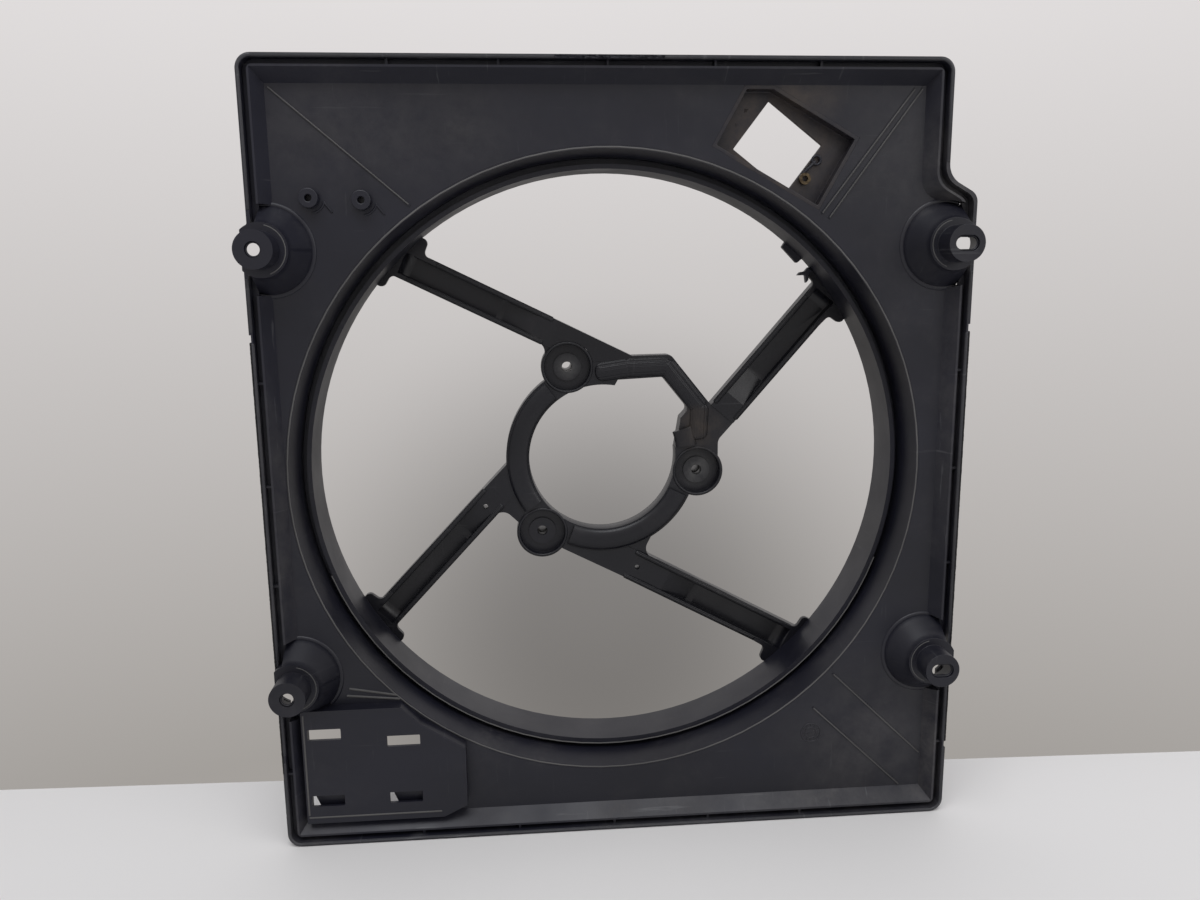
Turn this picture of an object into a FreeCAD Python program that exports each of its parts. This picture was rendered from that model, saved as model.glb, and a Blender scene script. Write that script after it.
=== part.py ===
"""Radiator fan shroud: one moulding in glass-filled plastic, written as the named pieces that it is drawn from.

Frame, in millimetres: the fan axis is Y, +Z is up, and -Y is the radiator side. The origin lies on the fan axis,
in the plane that the motor's three feet sit on. "Forward" sizes are distances from that plane towards the radiator.
"""

import os

import FreeCAD
import Part
import Sketcher

from math import atan2, cos, pi, radians, sin, tan

SIZES = [
    # name, value, meaning
    ("left_reach", 243.0, "fan axis to the left edge, below the upper left step"),
    ("left_upper_reach", 239.0, "fan axis to the left edge, above that step"),
    ("right_reach", 256.0, "fan axis to the right edge, below the upper right step"),
    ("right_upper_reach", 235.0, "fan axis to the right edge, above that step"),
    ("top_reach", 284.0, "fan axis to the top edge"),
    ("bottom_reach", 272.5, "fan axis to the bottom edge"),
    ("left_step_height", 178.0, "height of the upper left step"),
    ("left_step_rise", 7.0, "length of the slope of that step"),
    ("right_step_height", 206.0, "height of the upper end of the upper right step"),
    ("right_step_rise", 12.0, "height that the step on the right covers"),
    ("step_turn", 0.584, "drop of a corner of that step for each millimetre inwards"),
    ("step_inner_radius", 15.0, "hollow bend of the step on the right"),
    ("step_outer_radius", 9.0, "round corner of the step on the right"),
    ("corner_radius", 10.0, "outer corners of the rim"),
    ("rim_leg", 36.0, "length of the side stretches that the top and bottom rims take in"),
    ("side_rim_width", 14.5, "rim across, left and right"),
    ("end_rim_width", 16.5, "rim across, top and bottom"),
    ("lip_wall", 2.5, "outer lip of the rim"),
    ("channel_gap", 4.0, "sealing channel between the lip and the flange"),
    ("crest_width", 1.5, "level crest between the channel and the slope down to the panel"),
    ("slope_wall", 3.0, "wall of that slope, measured level"),
    ("channel_wall", 2.0, "wall between the channel and the hollow behind the slope"),
    ("hollow_tip", 0.4, "width of the top of that hollow"),
    ("wall", 2.5, "general wall of the moulding"),
    ("lip_forward", 84.0, "front of the lip"),
    ("flange_forward", 82.0, "front of the flange's crest"),
    ("channel_forward", 75.5, "floor of the sealing channel"),
    ("panel_forward", 72.0, "front of the dished panel"),
    ("cross_rib", 1.6, "thickness of a rib across the channel"),
    ("cross_rib_rise", 4.5, "height of a rib across the channel"),
    ("cross_rib_pitch", 72.0, "spacing of the ribs across the channel"),
    ("funnel_radius", 228.5, "outer edge of the funnel at the panel"),
    ("funnel_mouth", 226.5, "inner edge of the funnel at the panel"),
    ("groove_outer", 223.3, "outer wall of the groove round the fan"),
    ("groove_inner", 218.8, "inner wall of the groove round the fan"),
    ("groove_forward", 52.0, "outer edge of the groove"),
    ("groove_floor", 41.0, "floor of the groove"),
    ("duct_bore", 215.5, "bore of the duct"),
    ("duct_forward", 50.0, "front edge of the duct"),
    ("duct_back", 16.0, "back edge of the duct"),
    ("seat_gap", 0.1, "gap left at seams that are round"),
    ("crease_width", 1.6, "width of the ridge along a fold of the panel"),
    ("crease_rise", 0.7, "height of that ridge"),
    ("post_left_inset", 13.5, "left edge to the left mounting posts"),
    ("post_right_inset", 17.5, "right edge to the right mounting posts"),
    ("post_top", 160.5, "height of the upper mounting posts"),
    ("post_bottom", 144.5, "drop of the lower mounting posts"),
    ("post_foot", 30.0, "radius of the mound that a mounting post stands on, at the panel"),
    ("post_column", 18.0, "radius of the column between the ends of the lip, up to the shoulder"),
    ("post_shoulder", 17.2, "radius at the shoulder of the mound"),
    ("post_neck", 12.6, "radius above the shoulder"),
    ("post_forward", 110.0, "front face of a mounting post"),
    ("post_shoulder_forward", 92.0, "shoulder of a mounting post"),
    ("post_head", 7.0, "thickness of a mounting post's head"),
    ("post_hole", 5.2, "radius of the hole in a left mounting post, and of a slot's ends"),
    ("post_slot", 16.5, "length of the slot in a right mounting post"),
    ("motor_circle", 76.7, "radius of the circle of the motor's feet"),
    ("motor_angle", 110.5, "direction of the first motor foot"),
    ("motor_hole", 4.0, "radius of a motor screw hole"),
    ("foot_pad", 10.7, "radius of the raised disc under a motor foot"),
    ("foot_pad_rise", 1.5, "rise of that disc above the floor of its bowl"),
    ("bowl_radius", 17.8, "radius of the bowl round a motor foot"),
    ("ear_radius", 20.3, "outer radius of an ear"),
    ("ring_outer", 76.0, "outer radius of the motor ring"),
    ("ring_bore", 58.0, "bore of the motor ring"),
    ("ring_forward", 5.0, "front of the motor ring"),
    ("ring_back", 9.0, "back of the motor ring"),
    ("screw_boss", 8.5, "radius of the long boss behind a motor foot"),
    ("screw_boss_back", 34.0, "back end of that boss"),
    ("arm_depth", 13.0, "depth of an arm, front to back"),
    ("arm_floor", 3.0, "floor of an arm's trough"),
    ("arm_edge", 2.6, "side wall of an arm"),
    ("arm_trough_end", 5.0, "round end of an arm's trough, in from the duct's outside"),
    ("arm_trough_start", 5.0, "start of an arm's trough, out from the motor ring"),
    ("arm_ramp", 38.0, "length of the slope down to the trough's floor"),
    ("web_radius", 9.0, "hollow corner where an arm meets the motor ring"),
    ("root_flare", 12.0, "flare of an arm's root along the duct, on each side"),
    ("root_depth", 7.5, "depth of that flare inwards"),
    ("root_thickness", 4.0, "thickness of that flare"),
    ("drain_hole", 2.0, "radius of the drain hole in a lower arm"),
    ("pad_height", 105.5, "bottom edge to the upper edge of the controller pad"),
    ("pad_width", 118.0, "width of the controller pad"),
    ("pad_corner_drop", 34.5, "drop of the controller pad's edge where it passes the funnel"),
    ("pad_slot_length", 24.0, "length of a slot in the controller pad"),
    ("pad_slot_width", 8.5, "width of a slot in the controller pad"),
    ("window_tray_depth", 10.0, "depth of the tray round the window"),
    ("window_centre", 257.7, "fan axis to the middle of the window"),
    ("window_direction", 62.3, "direction of the window from the fan axis"),
    ("window_turn", -37.7, "turn of the window's long side from level"),
    ("window_width", 48.0, "window, along its long side"),
    ("window_height", 40.0, "window, along its short side"),
    ("small_boss", 6.5, "radius of a small screw boss"),
    ("small_boss_hole", 2.3, "radius of its hole"),
    ("small_boss_rise", 7.0, "rise of a small screw boss above the panel"),
    ("strip_thickness", 1.2, "side sealing strip"),
    ("strip_top", 100.0, "height of the upper end of the sealing strips"),
    ("strip_end", 58.5, "bottom edge to the lower end of the sealing strips"),
    ("clip_direction", 47.5, "direction of the cable hook on the duct"),
    ("insert_radius", 4.0, "brass insert beside the window"),
    ("insert_rise", 3.0, "rise of that insert"),
    ("strip_notch", 5.0, "open notch in the lip at each end of a strip"),
]


class Size:
    """A number together with the spreadsheet formula that gives it."""

    def __init__(self, formula, number):
        self.formula = formula
        self.number = float(number)

    def __add__(self, other):
        other = size(other)
        return Size(f"({self.formula} + {other.formula})", self.number + other.number)

    def __sub__(self, other):
        other = size(other)
        return Size(f"({self.formula} - {other.formula})", self.number - other.number)

    def __mul__(self, other):
        other = size(other)
        return Size(f"({self.formula} * {other.formula})", self.number * other.number)

    def __truediv__(self, other):
        other = size(other)
        return Size(f"({self.formula} / {other.formula})", self.number / other.number)

    def __neg__(self):
        return Size(f"(-{self.formula})", -self.number)

    __radd__ = __add__
    __rmul__ = __mul__

    def __rsub__(self, other):
        return size(other) - self


def size(value):
    """A plain number as a Size."""
    return value if isinstance(value, Size) else Size(repr(float(value)), value)


def cosine(angle):
    """Cosine of an angle in degrees."""
    angle = size(angle)
    return Size(f"cos({angle.formula})", cos(radians(angle.number)))


def sine(angle):
    """Sine of an angle in degrees."""
    angle = size(angle)
    return Size(f"sin({angle.formula})", sin(radians(angle.number)))


doc = FreeCAD.newDocument("FanShroud")
sheet = doc.addObject("Spreadsheet::Sheet", "Sizes")


class Named:
    """The driving dimensions, one attribute for each row of the sheet."""


D = Named()
for row, (name, number, meaning) in enumerate(SIZES, start=1):
    sheet.set(f"A{row}", name)
    sheet.set(f"B{row}", str(number))
    sheet.set(f"C{row}", meaning)
    sheet.setAlias(f"B{row}", name)
    setattr(D, name, Size(f"Sizes.{name}", number))
doc.recompute()

nodes = []


def bind(thing, path, value):
    """Ties one property to the sheet."""
    thing.setExpression(path, size(value).formula)


def new_body(name, turn=None):
    """A sub-part, turned about the fan axis where its own X axis isn't level."""
    body = doc.addObject("PartDesign::Body", name)
    body.Label = name
    if turn is not None:
        bind_turn = size(turn)
        axis = FreeCAD.Vector(0, -1, 0)
        body.Placement = FreeCAD.Placement(FreeCAD.Vector(), FreeCAD.Rotation(axis, bind_turn.number))
        body.setExpression("Placement.Rotation.Angle", bind_turn.formula)
    nodes.append(body)
    return body


def plane(body, role):
    """One of a body's own origin planes or axes."""
    for feature in body.Origin.OriginFeatures:
        if feature.Role == role:
            return feature
    raise ValueError(role)


def new_sketch(body, name, role="XZ_Plane", offset=0.0):
    """A sketch on an origin plane, moved along the plane's normal."""
    sketch = body.newObject("Sketcher::SketchObject", name)
    sketch.AttachmentSupport = (plane(body, role), [""])
    sketch.MapMode = "FlatFace"
    bind(sketch, "AttachmentOffset.Base.z", offset)
    return sketch


def hold(sketch, kind, geometry, point, value):
    """Fixes one coordinate of a point of a sketch."""
    value = size(value)
    index = sketch.addConstraint(Sketcher.Constraint(kind, -1, 1, geometry, point, value.number))
    sketch.setExpression(f"Constraints[{index}]", value.formula)


def unit(a, b):
    """Direction from one corner to another."""
    step = b - a
    return step / step.Length


def outline(sketch, corners):
    """A closed outline of straight sides, with its corners rounded where they give a radius."""
    corners = [tuple(corner) + (0,) * (3 - len(corner)) for corner in corners]
    count = len(corners)
    points = [FreeCAD.Vector(size(x).number, size(y).number, 0) for x, y, _ in corners]
    starts = []
    ends = []
    for i, (_, _, radius) in enumerate(corners):
        radius = size(radius).number
        before = unit(points[i], points[i - 1])
        after = unit(points[i], points[(i + 1) % count])
        half = before.getAngle(after) / 2
        reach = radius / tan(half) if radius else 0.0
        ends.append(points[i] + before * reach)
        starts.append(points[i] + after * reach)
    lines = []
    for i in range(count):
        segment = Part.LineSegment(starts[i], ends[(i + 1) % count])
        lines.append(sketch.addGeometry(segment))
    for i, (x, y, radius) in enumerate(corners):
        previous = lines[i - 1]
        following = lines[i]
        if not size(radius).number:
            sketch.addConstraint(Sketcher.Constraint("Coincident", previous, 2, following, 1))
            hold(sketch, "DistanceX", following, 1, x)
            hold(sketch, "DistanceY", following, 1, y)
            continue
        tip = sketch.addGeometry(Part.Point(points[i]), True)
        hold(sketch, "DistanceX", tip, 1, x)
        hold(sketch, "DistanceY", tip, 1, y)
        sketch.addConstraint(Sketcher.Constraint("PointOnObject", tip, 1, previous))
        sketch.addConstraint(Sketcher.Constraint("PointOnObject", tip, 1, following))
        before = unit(points[i], points[i - 1])
        after = unit(points[i], points[(i + 1) % count])
        half = before.getAngle(after) / 2
        middle = before + after
        centre = points[i] + middle / middle.Length * (size(radius).number / sin(half))
        left_turn = (before.cross(after)).z < 0
        first, last = (ends[i], starts[i]) if left_turn else (starts[i], ends[i])
        circle = Part.Circle(centre, FreeCAD.Vector(0, 0, 1), size(radius).number)
        angles = [atan2(p.y - centre.y, p.x - centre.x) for p in (first, last)]
        if angles[1] < angles[0]:
            angles[1] += 2 * pi
        arc = sketch.addGeometry(Part.ArcOfCircle(circle, *angles))
        first_point, last_point = (1, 2) if left_turn else (2, 1)
        sketch.addConstraint(Sketcher.Constraint("Tangent", previous, 2, arc, first_point))
        sketch.addConstraint(Sketcher.Constraint("Tangent", arc, last_point, following, 1))
        index = sketch.addConstraint(Sketcher.Constraint("Radius", arc, size(radius).number))
        sketch.setExpression(f"Constraints[{index}]", size(radius).formula)


def circle(sketch, x, y, radius):
    """A circle."""
    radius = size(radius)
    centre = FreeCAD.Vector(size(x).number, size(y).number, 0)
    index = sketch.addGeometry(Part.Circle(centre, FreeCAD.Vector(0, 0, 1), radius.number))
    hold(sketch, "DistanceX", index, 3, x)
    hold(sketch, "DistanceY", index, 3, y)
    index = sketch.addConstraint(Sketcher.Constraint("Radius", index, radius.number))
    sketch.setExpression(f"Constraints[{index}]", radius.formula)


def pad(body, sketch, length, midplane=False):
    """Adds material along the sketch's normal."""
    feature = body.newObject("PartDesign::Pad", f"{sketch.Name}_pad")
    feature.Profile = sketch
    feature.Midplane = midplane
    bind(feature, "Length", length)
    sketch.Visibility = False
    return feature


def pocket(body, sketch, length=None, midplane=False, from_back=False):
    """Cuts material away: backwards from the sketch, or forwards from one drawn at the back."""
    feature = body.newObject("PartDesign::Pocket", f"{sketch.Name}_cut")
    feature.Profile = sketch
    feature.Midplane = midplane
    feature.Reversed = from_back
    if length is None:
        feature.Type = "ThroughAll"
        feature.Midplane = True
    else:
        bind(feature, "Length", length)
    return feature


def box_outline(left, right, bottom, top, radius=0):
    """The corners of an upright rectangle."""
    return [(left, bottom, radius), (right, bottom, radius), (right, top, radius), (left, top, radius)]


# The places of the four mounting posts, seen from the radiator side.
POST_LEFT = D.left_reach - D.post_left_inset
POST_RIGHT = D.right_reach - D.post_right_inset
POSTS = {
    "upper_left": (-POST_LEFT, D.post_top),
    "upper_right": (POST_RIGHT, D.post_top),
    "lower_left": (-POST_LEFT, -D.post_bottom),
    "lower_right": (POST_RIGHT, -D.post_bottom),
}
PAD_TOP = D.bottom_reach - D.pad_height
PAD_EDGE = -(D.left_reach - D.side_rim_width)
PAD_FLOOR = -(D.bottom_reach - D.end_rim_width)
PAD_RIGHT = PAD_EDGE + D.pad_width
STRIP_BOTTOM = D.bottom_reach - D.strip_end
PANEL_BACK = D.panel_forward - D.wall
CHANNEL_BACK = D.channel_forward - D.wall
CHANNEL_INSET = D.lip_wall + D.channel_gap
CREST_INSET = CHANNEL_INSET + D.crest_width


def clear_posts(body, word, radius):
    """Opens a piece where the mounting posts pass through it."""
    cut = new_sketch(body, f"{body.Name}_{word}_cut")
    for x, z in POSTS.values():
        circle(cut, x, z, radius + D.seat_gap)
    pocket(body, cut)


def end_rim_outline(side, inner, outer):
    """The U of the top (side 1) or bottom (side -1) rim, from one inset to another, mitred behind the channel."""
    left = D.left_upper_reach if side > 0 else D.left_reach
    right = D.right_upper_reach if side > 0 else D.right_reach
    reach = D.top_reach if side > 0 else D.bottom_reach
    foot = (reach - D.rim_leg) * side
    corners = []
    for inset, end_inset in (outer, inner):
        round_corner = inset.number <= CHANNEL_INSET.number
        radius = D.corner_radius - inset if round_corner else 0
        run = [
            (-(left - inset), foot),
            (-(left - inset), (reach - end_inset) * side, radius),
            (right - inset, (reach - end_inset) * side, radius),
            (right - inset, foot),
        ]
        corners += run if not corners else run[::-1]
    return corners


def side_rim_outline(side, inner, outer, low, high):
    """A stretch of the left (side -1) or right (side 1) rim, from one inset to another."""
    corners = []
    stepped = high.number > D.right_step_height.number
    for inset in (outer, inner):
        inset = size(inset)
        if not stepped:
            reach = D.right_reach if side > 0 else D.left_reach
            run = [((reach - inset) * side, low), ((reach - inset) * side, high)]
        elif side > 0:
            knee = D.right_step_height - D.step_turn * inset
            run = [
                (D.right_reach - inset, low),
                (D.right_reach - inset, knee - D.right_step_rise, D.step_outer_radius),
                (D.right_upper_reach - inset, knee, D.step_inner_radius),
                (D.right_upper_reach - inset, high),
            ]
        else:
            run = [
                (-(D.left_reach - inset), low),
                (-(D.left_reach - inset), D.left_step_height - D.left_step_rise),
                (-(D.left_upper_reach - inset), D.left_step_height),
                (-(D.left_upper_reach - inset), high),
            ]
        corners += run if not corners else run[::-1]
    return corners


def loft(body, kind, first, last):
    """A form with straight sides between two outlines of as many corners."""
    feature = body.newObject(f"PartDesign::{kind}Loft", f"{first.Name}_loft")
    feature.Profile = first
    feature.Sections = [last]
    feature.Ruled = True
    return feature


def build_rim(name, make_outline, width):
    """A stretch of rim: lip, sealing channel, and a flange that slopes down to the panel, hollow behind."""
    body = new_body(name)
    zero = size(0)
    foot = new_sketch(body, f"{name}_foot", offset=PANEL_BACK)
    outline(foot, make_outline(width, CHANNEL_INSET))
    pad(body, foot, D.wall)
    slope = new_sketch(body, f"{name}_slope", offset=D.panel_forward)
    outline(slope, make_outline(width, CHANNEL_INSET))
    crest = new_sketch(body, f"{name}_crest", offset=D.flange_forward)
    outline(crest, make_outline(CREST_INSET, CHANNEL_INSET))
    loft(body, "Additive", slope, crest)
    steepness = (width - CREST_INSET) / (D.flange_forward - D.panel_forward)
    hollow_inset = CHANNEL_INSET + D.channel_wall
    tip_inset = hollow_inset + D.hollow_tip
    tip_forward = D.panel_forward + (width - D.slope_wall - tip_inset) / steepness
    hollow = new_sketch(body, f"{name}_hollow", offset=PANEL_BACK)
    outline(hollow, make_outline(width - D.slope_wall + steepness * D.wall, hollow_inset))
    top = new_sketch(body, f"{name}_hollow_top", offset=tip_forward)
    outline(top, make_outline(tip_inset, hollow_inset))
    loft(body, "Subtractive", hollow, top)
    if "rim_left" in name or "rim_right" in name:
        clear_posts(body, "mound", D.post_foot)
    floor = new_sketch(body, f"{name}_floor", offset=CHANNEL_BACK)
    outline(floor, make_outline(CHANNEL_INSET, zero))
    pad(body, floor, D.wall)
    lip = new_sketch(body, f"{name}_lip", offset=CHANNEL_BACK)
    outline(lip, make_outline(D.lip_wall, zero))
    pad(body, lip, D.lip_forward - CHANNEL_BACK)
    return body


def end_outline(side):
    """The outline function of the top or bottom rim, which is wider than the sides."""
    widen = D.end_rim_width - D.side_rim_width

    def make(inner, outer):
        pair = []
        for inset in (inner, outer):
            inset = size(inset)
            deep = inset.number > (CHANNEL_INSET + D.channel_wall + D.hollow_tip).number
            pair.append((inset, inset + widen) if deep else (inset, inset))
        return end_rim_outline(side, *pair)

    return make


def add_cross_ribs(body, along_x, first, count, side, reach):
    """The small ribs that stand across the sealing channel."""
    rib = new_sketch(body, f"{body.Name}_rib", offset=D.channel_forward)
    half = D.cross_rib / 2
    near, far = (reach - CHANNEL_INSET) * side, (reach - D.lip_wall) * side
    if side < 0:
        near, far = far, near
    if along_x:
        outline(rib, box_outline(first - half, first + half, near, far))
    else:
        outline(rib, box_outline(near, far, first - half, first + half))
    feature = pad(body, rib, D.cross_rib_rise)
    if count > 1:
        pattern = body.newObject("PartDesign::LinearPattern", f"{body.Name}_ribs")
        pattern.Originals = [feature]
        pattern.Direction = (rib, ["H_Axis" if along_x else "V_Axis"])
        pattern.Occurrences = count
        bind(pattern, "Length", D.cross_rib_pitch * (count - 1))
        body.Tip = pattern


def strip_box(side, reach, low, high):
    """The corners of a length of sealing strip, or of its recess."""
    face = reach * side
    floor = (reach - D.strip_thickness) * side
    return box_outline(face, floor, low, high) if side < 0 else box_outline(floor, face, low, high)


def build_rims():
    """The rim, with the recess for a sealing strip on each side."""
    width = D.side_rim_width
    for name, side, reach in (("rim_top", 1, D.top_reach), ("rim_bottom", -1, D.bottom_reach)):
        body = build_rim(name, end_outline(side), width)
        add_cross_ribs(body, True, -D.cross_rib_pitch * 2, 5, side, reach)
    stretches = [
        ("upper", D.post_top, D.top_reach - D.rim_leg, None, 0),
        ("middle", -D.post_bottom, D.post_top, -D.cross_rib_pitch, 3),
        ("lower", -(D.bottom_reach - D.rim_leg), -D.post_bottom, -D.cross_rib_pitch * 3, 1),
    ]
    for word, side, reach in (("left", -1, D.left_reach), ("right", 1, D.right_reach)):
        for part, low, high, first, count in stretches:
            def make(inner, outer, low=low, high=high):
                return side_rim_outline(side, inner, outer, low, high)

            body = build_rim(f"rim_{word}_{part}", make, width)
            if count:
                add_cross_ribs(body, False, first, count, side, reach)
                recess = new_sketch(body, f"{body.Name}_strip_recess", offset=D.lip_forward)
                top = D.strip_top + D.strip_notch if part == "middle" else high
                bottom = low if part == "middle" else -(STRIP_BOTTOM + D.strip_notch)
                outline(recess, strip_box(side, reach, bottom, top))
                pocket(body, recess, D.lip_forward - CHANNEL_BACK)
            clear_posts(body, "column", D.post_column)


def build_strips():
    """The soft sealing strips in the sides of the lip."""
    for word, side, reach in (("left", -1, D.left_reach), ("right", 1, D.right_reach)):
        body = new_body(f"seal_strip_{word}")
        strip = new_sketch(body, f"{body.Name}_outline", offset=CHANNEL_BACK)
        outline(strip, strip_box(side, reach, -STRIP_BOTTOM, D.strip_top))
        pad(body, strip, D.lip_forward - CHANNEL_BACK)


def controller_pad_outline(inset=0):
    """The controller pad's outline, or one inside it."""
    inset = size(inset)
    right = PAD_RIGHT - inset
    return [
        (PAD_EDGE + inset, PAD_FLOOR + inset),
        (right - 17.5, PAD_FLOOR + inset),
        (right, PAD_FLOOR + 8.5 + inset),
        (right, -(PAD_TOP + D.pad_corner_drop + inset)),
        (right - 32, -(PAD_TOP + 14 + inset)),
        (right - 46, -(PAD_TOP + inset)),
        (PAD_EDGE + inset, -(PAD_TOP + inset)),
    ]


# The window's tray, turned so that its short sides point away from the fan axis.
TRAY_TURN = 60.6
TRAY_LOW = 233.4
TRAY_HIGH = 289.0
TRAY_LEFT = 49.5
TRAY_RIGHT = 38.0
PANEL_TOP = D.top_reach - D.end_rim_width


def tray_point(across, out):
    """A point of the tray, from its place across and out from the fan axis."""
    x = cosine(TRAY_TURN) * out + sine(TRAY_TURN) * across
    z = sine(TRAY_TURN) * out - cosine(TRAY_TURN) * across
    return x, z


def tray_outline(inset=0):
    """The tray's outline, cut off level under the top rim."""
    inset = size(inset)
    left = -(size(TRAY_LEFT) - inset)
    right = size(TRAY_RIGHT) - inset
    low = size(TRAY_LOW) + inset
    high = size(TRAY_HIGH) - inset
    top = PANEL_TOP - inset
    left_out = (top + cosine(TRAY_TURN) * left) / sine(TRAY_TURN)
    top_across = (sine(TRAY_TURN) * high - top) / cosine(TRAY_TURN)
    return [
        tray_point(left, low),
        tray_point(right, low),
        tray_point(right, high),
        tray_point(top_across, high),
        tray_point(left, left_out),
    ]


# The folds of the panel, from the corner of the rim to the funnel.
CREASES = {
    "panel_upper_left": [((-223.0, 266.0), (-134.0, 189.6))],
    "panel_upper_right": [((218.5, 266.0), (155.0, 179.4)), ((213.0, 266.0), (149.8, 182.6))],
    "panel_lower_right": [((240.5, -228.8), (169.4, -160.0)), ((225.5, -255.0), (154.6, -186.9))],
}


def add_crease(body, name, first, last):
    """A low ridge along a fold."""
    along = FreeCAD.Vector(last[0] - first[0], last[1] - first[1], 0)
    along.normalize()
    step_x, step_z = D.crease_width * (-along.y / 2), D.crease_width * (along.x / 2)
    ridge = new_sketch(body, name, offset=D.panel_forward)
    outline(ridge, [
        (step_x + first[0], step_z + first[1]),
        (-step_x + first[0], -step_z + first[1]),
        (-step_x + last[0], -step_z + last[1]),
        (step_x + last[0], step_z + last[1]),
    ])
    pad(body, ridge, D.crease_rise)


def build_panels():
    """The dished panel in its four corners, with the ridges of its folds."""
    left = -(D.left_reach - D.side_rim_width)
    right = D.right_reach - D.side_rim_width
    right_upper = D.right_upper_reach - D.side_rim_width
    knee = D.right_step_height - D.step_turn * D.side_rim_width
    step_low = knee - D.right_step_rise
    top = PANEL_TOP
    bottom = PAD_FLOOR
    zero = size(0)
    left_upper = -(D.left_upper_reach - D.side_rim_width)
    left_knee = D.left_step_height
    corners = {
        "panel_upper_left": [
            (zero, zero), (zero, top), (left_upper, top), (left_upper, left_knee),
            (left, left_knee - D.left_step_rise), (left, zero),
        ],
        "panel_upper_right": [
            (zero, zero), (right, zero), (right, step_low, D.step_outer_radius),
            (right_upper, knee, D.step_inner_radius), (right_upper, top), (zero, top),
        ],
        "panel_left_lower": box_outline(left, zero, -PAD_TOP, zero),
        "panel_bottom_left": box_outline(PAD_RIGHT, zero, bottom, zero),
        "panel_lower_right": box_outline(zero, right, bottom, zero),
    }
    for name, points in corners.items():
        body = new_body(name)
        plate = new_sketch(body, f"{name}_plate", offset=PANEL_BACK)
        outline(plate, points)
        pad(body, plate, D.wall)
        for index, ends in enumerate(CREASES.get(name, [])):
            add_crease(body, f"{name}_crease_{index + 1}", *ends)
        if name == "panel_upper_right":
            cut = new_sketch(body, f"{name}_tray_cut")
            outline(cut, tray_outline())
            pocket(body, cut)
        clear_posts(body, "mound", D.post_foot)
        opening = new_sketch(body, f"{name}_fan_cut")
        circle(opening, 0, 0, D.funnel_radius + D.seat_gap)
        pocket(body, opening)


def build_duct():
    """The funnel, the groove round the blade tips and the duct, turned about the fan axis."""
    body = new_body("fan_duct")
    profile = new_sketch(body, "fan_duct_profile", role="XY_Plane")
    step = D.groove_forward
    outline(profile, [
        (D.duct_bore, -D.duct_back),
        (D.duct_bore, -D.duct_forward),
        (D.groove_inner, -D.duct_forward),
        (D.groove_inner, -D.groove_floor),
        (D.groove_outer, -D.groove_floor),
        (D.groove_outer, -step),
        (D.funnel_mouth, -D.panel_forward),
        (D.funnel_radius, -D.panel_forward),
        (D.funnel_radius, -PANEL_BACK),
        (D.groove_outer + D.wall, -step + D.wall),
        (D.groove_outer + D.wall, -(D.groove_floor - D.wall)),
        (D.duct_bore + D.wall, -(D.groove_floor - D.wall)),
        (D.duct_bore + D.wall, -D.duct_back),
    ])
    turn = body.newObject("PartDesign::Revolution", "fan_duct_turn")
    turn.Profile = profile
    turn.ReferenceAxis = (profile, ["V_Axis"])
    turn.Angle = 360.0


# Each arm: direction outwards, distance of its middle line from the fan axis, width, start along it, drain hole,
# and the web that fills its corner at the ring: where the web ends along the arm, and how far across it reaches.
ARMS = {
    "arm_upper_left": (153.7, -71.3, 21.6, 14.0, None, (75.5, -50.0)),
    "arm_upper_right": (50.1, -51.8, 23.4, 86.0, None, None),
    "arm_lower_left": (226.1, -41.7, 21.0, 45.0, 91.0, (83.5, -8.0)),
    "arm_lower_right": (-27.5, -68.2, 23.9, 4.0, 66.0, (64.5, -38.0)),
}
DUCT_OUTSIDE = D.duct_bore + D.wall


def arm_point(name, along, side):
    """A point on an arm's edge: side -1 is the edge away from the fan axis, 1 the near one."""
    direction, offset, width = ARMS[name][:3]
    across = size(offset) + size(width) / 2 * side
    along = size(along)
    x = cosine(direction) * along - sine(direction) * across
    z = sine(direction) * along + cosine(direction) * across
    return x, z


def arm_front(along):
    """Height of an arm's front edge, which falls from the duct's back edge to the motor ring's front."""
    share = (size(along) - D.ring_outer) / (D.duct_bore - D.ring_outer)
    return -(D.ring_forward + (D.duct_back - D.ring_forward) * share)


def chord(radius, offset):
    """How far out along an arm a circle round the fan axis lies, at a distance from the fan axis."""
    offset = size(offset)
    square = radius * radius - offset * offset
    return Size(f"sqrt({square.formula})", square.number ** 0.5)


def turned(direction, angle, radius):
    """A place given by its direction from the fan axis, in the frame of a body turned to another direction."""
    return cosine(size(angle) - direction) * radius, sine(size(angle) - direction) * radius


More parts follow.
